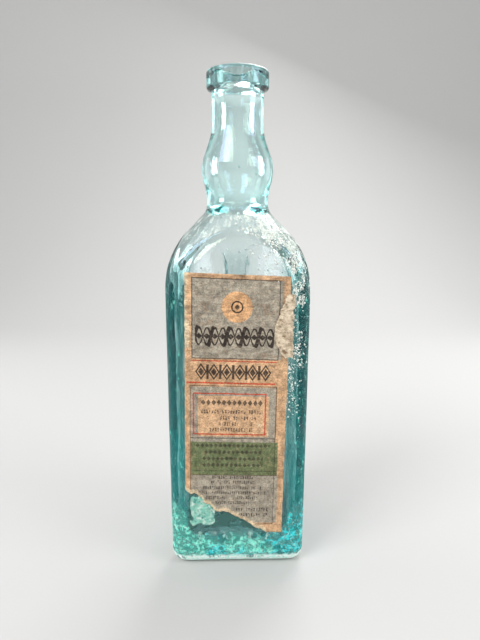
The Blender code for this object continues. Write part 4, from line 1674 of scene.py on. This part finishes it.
@dataclass
class FrontPapers:
    """The papers on the front face: the torn label, the scrap on its edge and the paste's film."""

    bottle: GlassBottle
    paper_thickness: float = 0.11 * MM
    side_margin: float = 1.9 * MM
    top_margin: float = 16.5 * MM
    bottom: float = 16.6 * MM
    shift: float = -1.0 * MM
    tilt: float = math.radians(0.9)
    top_skew: float = 1.1 * MM
    fold_slant: float = math.radians(16.0)
    torn_width: float = 35.0 * MM
    tear_steps: tuple[Pair, ...] = (
        (0.0, 20.4), (2.0, 18.2), (4.2, 18.7), (7.0, 16.6), (8.4, 13.7), (10.4, 13.4), (12.4, 11.2),
        (15.0, 10.0), (17.2, 10.2), (20.4, 8.3), (24.0, 6.8), (27.4, 4.4), (31.0, 2.4), (35.0, 0.0),
    )
    glue: float = 0.05 * MM
    greatest_lift: float = 0.6 * MM
    tear_lift: float = 0.22 * MM
    frayed: float = 0.16 * MM
    print_size: Pair = (43.0, 113.6)
    label_grid: tuple[int, int] = (250, 110)
    scrap_width: float = 8.2 * MM
    scrap_overhang: float = 2.2 * MM
    scrap_drop: float = 8.0 * MM
    scrap_lift: float = 0.38 * MM
    scrap_greatest_lift: float = 1.15 * MM
    scrap_grid: tuple[int, int] = (90, 40)
    film_thickness: float = 0.03 * MM
    film_lift: float = 0.045 * MM
    film_inset: Pair = (0.6 * MM, 1.0 * MM)
    film_overlap: float = 1.2 * MM
    lump_centre: Pair = (7.4 * MM, 10.5 * MM)
    lump_spread: Pair = (6.2 * MM, 7.6 * MM)
    film_grid: tuple[int, int] = (69, 119)
    printed: PrintedPaper = field(default_factory=PrintedPaper)
    blank: BlankPaper = field(default_factory=BlankPaper)
    paste: PasteFilm = field(default_factory=PasteFilm)

    def __post_init__(self) -> None:
        """Work out the label's own edges on the face."""
        bottle = self.bottle
        arch = bottle.eaves_height + (bottle.corner_reach - bottle.face_reach) * bottle.shoulder_slope
        self.half = bottle.flat_half - self.side_margin
        self.top = arch - self.top_margin

    def build(self) -> list[Object]:
        """Make the label, the scrap and the film."""
        return [self.label(), self.scrap(), self.film()]

    def tear(self, across: Array) -> Array:
        """The height of the label's lower edge at each place across it."""
        share = np.clip((across + self.half) / self.torn_width, 0, 1)
        places, heights = np.array(self.tear_steps).T * MM
        line = self.bottom + np.interp(across + self.half, places, heights)
        place = upright(across)
        torn = 1 - smooth_step(share, 0.93, 1.0)
        coarse = soft_noise(place, 2.6 * MM, 21.0) * 0.8 * MM
        fine = soft_noise(place, 1.1 * MM, 22.0) * 0.45 * MM + soft_noise(place, 0.5 * MM, 23.0) * 0.2 * MM
        return line + (coarse + fine) * torn

    def on_face(self, across: Array, height: Array, out: Array) -> Array:
        """Points of the tilted sheet as places in the frame, this far in front of the glass."""
        pivot = (self.top + self.bottom) / 2
        lean = np.array([math.cos(self.tilt), -math.sin(self.tilt)])
        climb = np.array([math.sin(self.tilt), math.cos(self.tilt)])
        x = lean[0] * across + climb[0] * (height - pivot) + self.shift
        z = lean[1] * across + climb[1] * (height - pivot) + pivot
        y = self.bottle.axis.y - self.bottle.face_reach - out
        return np.stack([x, y, z], axis=-1)

    def sheet(self, name: str, across: Array, height: Array, out: Array, finish: Material) -> Object:
        """A sheet's front skin over a grid of places.

        Args:
            name: The piece's name.
            across: Each grid point's place across the face.
            height: Its height.
            out: How far it stands in front of the glass.
            finish: The sheet's material.

        Returns:
            The sheet, which looks away from the glass and has no thickness yet.
        """
        verts = self.on_face(across, height, out).reshape(-1, 3)
        piece = add_piece(name, verts, grid_faces(*across.shape), finish)
        if piece.data.polygons[0].normal.y > 0:
            piece.data.flip_normals()
        return piece

    def label(self) -> Object:
        """The printed label, wrinkled and torn at its lower left."""
        rows, columns = self.label_grid
        u = np.linspace(-self.half, self.half, columns + 1)
        v = np.linspace(0, 1, rows + 1)
        edge = self.tear(u)
        top = self.top - self.top_skew * (u + self.half) / (2 * self.half)
        height = edge[None] + v[:, None] * (top - edge)[None]
        frayed = soft_noise(upright(height=height[:, 0]), 1.4 * MM, 24.0)
        across = u[None] + self.frayed * frayed[:, None] * (u / self.half)[None]
        spots = upright(across, height)
        crease = self.creases(spots)
        near_tear = fading(height - edge[None], 1.6 * MM) * (u < self.torn_width - self.half)[None]
        lift = self.wrinkles(spots, crease).reshape(across.shape) + self.tear_lift * near_tear
        out = self.glue + self.paper_thickness + np.clip(lift, 0, self.greatest_lift)
        label = self.sheet("printed_label", across, height, out, self.printed.build())
        wide, tall = self.print_size
        sheet = np.zeros((across.size, 3))
        sheet[:, 0] = ((across + self.half) / (2 * self.half) * wide).ravel()
        sheet[:, 1] = ((top[None] - height) / (top - self.bottom)[None] * tall).ravel()
        store(label, "sheet_mm", sheet)
        store(label, "torn", self.torn_edge(across, height, edge).ravel())
        store(label, "crease", crease)
        thicken(label, self.paper_thickness)
        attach(label, ROOT)
        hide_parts("front_label")
        return label

    def torn_edge(self, across: Array, height: Array, edge: Array) -> Array:
        """1 on the torn edge and the frayed left top, falling to 0 within a few millimetres."""
        from_tear = fading(height - edge[None], 2.2 * MM) * (across < self.torn_width - self.half)
        frayed_top = fading(across + self.half, 1.3 * MM) * rise(height, 104, 112) * 0.9
        return np.maximum(from_tear, frayed_top)

    def creases(self, spots: Array) -> Array:
        """Where the paper is folded into long creases, which run down to the right at the top."""
        turn = np.array(Euler((0, self.fold_slant, 0)).to_matrix())
        slanting = ridges((spots @ turn.T) * [0.22, 1, 1], 4.6 * MM, 25.0)
        crossed = ridges(spots * [1, 1, 0.45], 7.0 * MM, 26.0)
        on_top = rise(spots[:, 2], 70, 100)
        return np.clip(slanting**2 * (0.25 + 0.75 * on_top) + 0.5 * crossed**4, 0, 1)

    def wrinkles(self, spots: Array, crease: Array) -> Array:
        """How far the paper stands off the glass."""
        broad = 0.07 * MM * (1 + soft_noise(spots, 16 * MM, 27.0))
        small = 0.030 * MM * soft_noise(spots, 2.6 * MM, 28.0)
        return broad + small + 0.20 * MM * crease

    def scrap(self) -> Object:
        """The scrap of blank paper over the label's right edge, narrow on top and crumpled."""
        low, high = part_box("paper_remnant")
        rows, columns = self.scrap_grid
        u = np.linspace(0, 1, columns + 1)
        v = np.linspace(0, 1, rows + 1)
        right = self.half + self.scrap_overhang
        top, tall = self.top - self.scrap_drop, high.z - low.z
        down = upright(height=v)
        swell = np.sin(math.pi * v**1.3)
        ragged = soft_noise(down, 0.13, 31.0) * 0.75 * MM + soft_noise(down, 0.035, 32.0) * 0.45 * MM
        left_edge = right - self.scrap_width * (0.46 + 0.54 * swell) + ragged
        bites = soft_noise(down, 0.10, 33.0) * 0.7 * MM + soft_noise(down, 0.035, 38.0) * 0.45 * MM
        right_edge = right - 0.5 * MM + np.minimum(bites, 0.5 * MM)
        across = left_edge[:, None] + (right_edge - left_edge)[:, None] * u[None]
        ends = 0.5 * MM * soft_noise(upright(height=u), 0.2, 34.0)
        height = top - (v * tall * 0.985)[:, None] + ends[None] * np.abs(2 * v - 1)[:, None]
        spots = upright(across, height)
        crease = np.clip(ridges(spots, 3.4 * MM, 35.0) ** 2 + 0.5 * ridges(spots, 1.8 * MM, 36.0) ** 2, 0, 1)
        lift = 0.30 * MM * crease + 0.14 * MM * (1 + soft_noise(spots, 4 * MM, 37.0))
        rim = np.minimum(np.minimum(u, 1 - u)[None], np.minimum(v, 1 - v)[:, None]).ravel()
        lift *= 0.35 + 0.65 * smooth_step(rim, 0.0, 0.08)
        out = self.scrap_lift + self.paper_thickness + lift.reshape(across.shape)
        out = np.minimum(out, self.scrap_greatest_lift)
        scrap = self.sheet("paper_scrap", across, height, out, self.blank.build())
        store(scrap, "crease", crease)
        thicken(scrap, self.paper_thickness)
        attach(scrap, ROOT)
        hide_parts("paper_remnant")
        return scrap

    def film(self) -> Object:
        """The film of paste where the label's corner is gone."""
        rows, columns = self.film_grid
        left, right = -self.half + self.film_inset[0], self.torn_width - self.half - self.film_inset[1]
        u = np.linspace(left, right, columns + 1)
        v = np.linspace(0, 1, rows + 1)
        edge = self.tear(u) + self.film_overlap
        arch = 1 - np.linspace(-1, 1, len(u)) ** 2
        foot = self.bottom + (0.2 + 1.5 * arch) * MM + 0.35 * MM * soft_noise(upright(u), 4 * MM, 41.0)
        height = foot[None] + v[:, None] * np.maximum(edge - foot, 0.1 * MM)[None]
        across = np.repeat(u[None], len(v), axis=0)
        spots = upright(across, height)
        aside = (across + self.half - self.lump_centre[0]) / self.lump_spread[0]
        above = (height - self.bottom - self.lump_centre[1]) / self.lump_spread[1]
        uneven = soft_noise(spots, 2.6 * MM, 46.0).reshape(across.shape)
        lumpy = smooth_step(np.exp(-(aside**4) - above**4) + 0.45 * uneven, 0.30, 0.75)
        folds = ridges(spots, 2.6 * MM, 47.0).reshape(across.shape) ** 2
        free = 1 - smooth_step(height, edge[None] - 2.6 * MM, edge[None] - 1.4 * MM)
        out = self.film_lift + lumpy * free * (0.05 + 0.42 * folds) * MM
        film = self.sheet("paste_film", across, height, out, self.paste.build())
        near = np.minimum(height - foot[None], (across - u[0]) * 0.6)
        near += 0.5 * MM * soft_noise(spots, 1.6 * MM, 49.0).reshape(across.shape)
        rim = fall(near, 0.1, 1.5)
        store(film, "rim", rim.ravel())
        store(film, "lumpy", lumpy.ravel())
        thicken(film, self.film_thickness)
        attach(film, ROOT)
        return film


@dataclass(frozen=True)
class MattPaint(Finish):
    """The even, matt paint of the floor and the backdrop."""

    name: str = "cove"
    colour: Colour = (0.49, 0.485, 0.475)
    roughness: float = 0.75
    shine: float = 0.15

    def shader(self, graph: Graph) -> Inputs:
        """The shader's inputs."""
        return {
            "Base Color": (*self.colour, 1.0),
            "Roughness": self.roughness,
            "Specular IOR Level": self.shine,
        }


@dataclass(frozen=True)
class Lamp:
    """A square soft lamp: its name, where it hangs, the length of its side and its power in watts."""

    name: str
    place: Triple
    side: float
    power: float


@dataclass
class Studio:
    """A plain pale floor and backdrop, soft lamps, and a camera that stands where the photographer did."""

    axis: Vector
    paint: MattPaint = field(default_factory=MattPaint)
    cove_reach: Pair = (0.8, 0.75)
    cove_width: float = 1.7
    cove_bend: float = 0.35
    cove_height: float = 1.2
    cove_steps: int = 24
    light_colour: Colour = (0.96, 0.98, 1.0)
    ambient: float = 0.70
    surround: float = 0.52
    lamps: tuple[Lamp, ...] = (
        Lamp("key", (-0.50, -0.42, 0.60), 0.42, 4.9),
        Lamp("fill", (0.60, -0.25, 0.40), 0.34, 2.1),
        Lamp("rim", (0.22, 0.48, 0.62), 0.40, 3.8),
        Lamp("low left", (-0.46, 0.16, 0.20), 0.30, 0.55),
        Lamp("low right", (0.46, 0.16, 0.20), 0.30, 0.55),
    )
    aim_height: float = 100.0 * MM
    camera_distance: float = 213.1 * MM
    camera_height: float = 154.2 * MM
    camera_aside: float = 0.9 * MM
    pitch: float = math.radians(12.6)
    yaw: float = math.radians(1.4)
    aside: float = math.radians(0.07)
    roll: float = math.radians(0.14)
    focal_length: float = 28.24
    sensor: float = 36.0

    def build(self) -> None:
        """Make the floor, the world, the lamps and the camera."""
        self.cove()
        self.world()
        for lamp in self.lamps:
            self.hang(lamp)
        self.camera()
        bpy.context.scene.view_settings.view_transform = "Standard"

    def cove(self) -> None:
        """A pale floor that bends up into a backdrop, which isn't part of the object."""
        near, far = self.cove_reach
        path = [(-near, 0.0), (far - self.cove_bend, 0.0)]
        for i in range(1, self.cove_steps + 1):
            turn = math.pi / 2 * i / self.cove_steps
            path.append((far - self.cove_bend * (1 - math.sin(turn)), self.cove_bend * (1 - math.cos(turn))))
        path.append((far, self.cove_height))
        half = self.cove_width / 2
        corners = [(x, y, z) for y, z in path for x in (-half, half)]
        faces = [(2 * i, 2 * i + 1, 2 * i + 3, 2 * i + 2) for i in range(len(path) - 1)]
        mesh = bpy.data.meshes.new("cove")
        mesh.from_pydata(corners, [], faces)
        mesh.shade_smooth()
        mesh.materials.append(self.paint.build())
        cove = new_object("cove", mesh)

    def world(self) -> None:
        """An even light for what is matt, and a darker room for what the glass shows of it."""
        world = bpy.data.worlds.new("studio")
        bpy.context.scene.world = world
        world.use_nodes = True
        graph = Graph(world.node_tree)
        path = graph.add("ShaderNodeLightPath").outputs
        seen = graph.most(path["Is Glossy Ray"], path["Is Transmission Ray"])
        way = graph.add("ShaderNodeTexCoord").outputs["Generated"]
        up = graph.parts(way)[2]
        room = graph.ramp(up, 0.05, 0.75, self.surround * 0.62, self.surround * 1.5)
        strength = graph.scaled(seen, graph.minus(room, self.ambient), self.ambient)
        light = graph.add("ShaderNodeBackground", {"Color": (*self.light_colour, 1.0), "Strength": strength})
        graph.add("ShaderNodeOutputWorld", {"Surface": light.outputs[0]})

    def hang(self, lamp: Lamp) -> None:
        """Hang a lamp so that it looks at the middle of the bottle."""
        light = bpy.data.lights.new(lamp.name, "AREA")
        light.shape = "SQUARE"
        light.size = lamp.side
        light.energy = lamp.power
        hung = new_object(lamp.name, light)
        hung.location = lamp.place
        aim = Vector((0.0, self.axis.y, self.aim_height)) - Vector(lamp.place)
        hung.rotation_euler = aim.to_track_quat("-Z", "Y").to_euler()

    def camera(self) -> None:
        """The camera, close in front of the label and a little above the middle."""
        data = bpy.data.cameras.new("camera")
        data.lens = self.focal_length
        data.sensor_width = self.sensor
        data.clip_start = 5 * MM
        camera = new_object("camera", data)
        c, s = math.cos(self.yaw), math.sin(self.yaw)
        x = self.camera_aside * c - self.camera_distance * s
        y = -self.camera_aside * s - self.camera_distance * c
        camera.location = (x, self.axis.y + y, self.camera_height)
        level = Euler((math.pi / 2 - self.pitch, 0.0, -self.yaw - self.aside)).to_matrix()
        camera.rotation_euler = (level @ Matrix.Rotation(self.roll, 3, "Z")).to_euler()
        bpy.context.scene.camera = camera


def main() -> None:
    """Build the pieces in order and report each one."""
    logging.basicConfig(level=logging.INFO, format="%(name)s: %(message)s")
    bottle = GlassBottle()
    papers = FrontPapers(bottle)
    for build in (bottle.build, papers.build):
        for piece in build():
            log.info("%s has %d faces", piece.name, len(piece.data.polygons))
    Studio(bottle.axis).build()


if __name__ == "__main__":
    main()
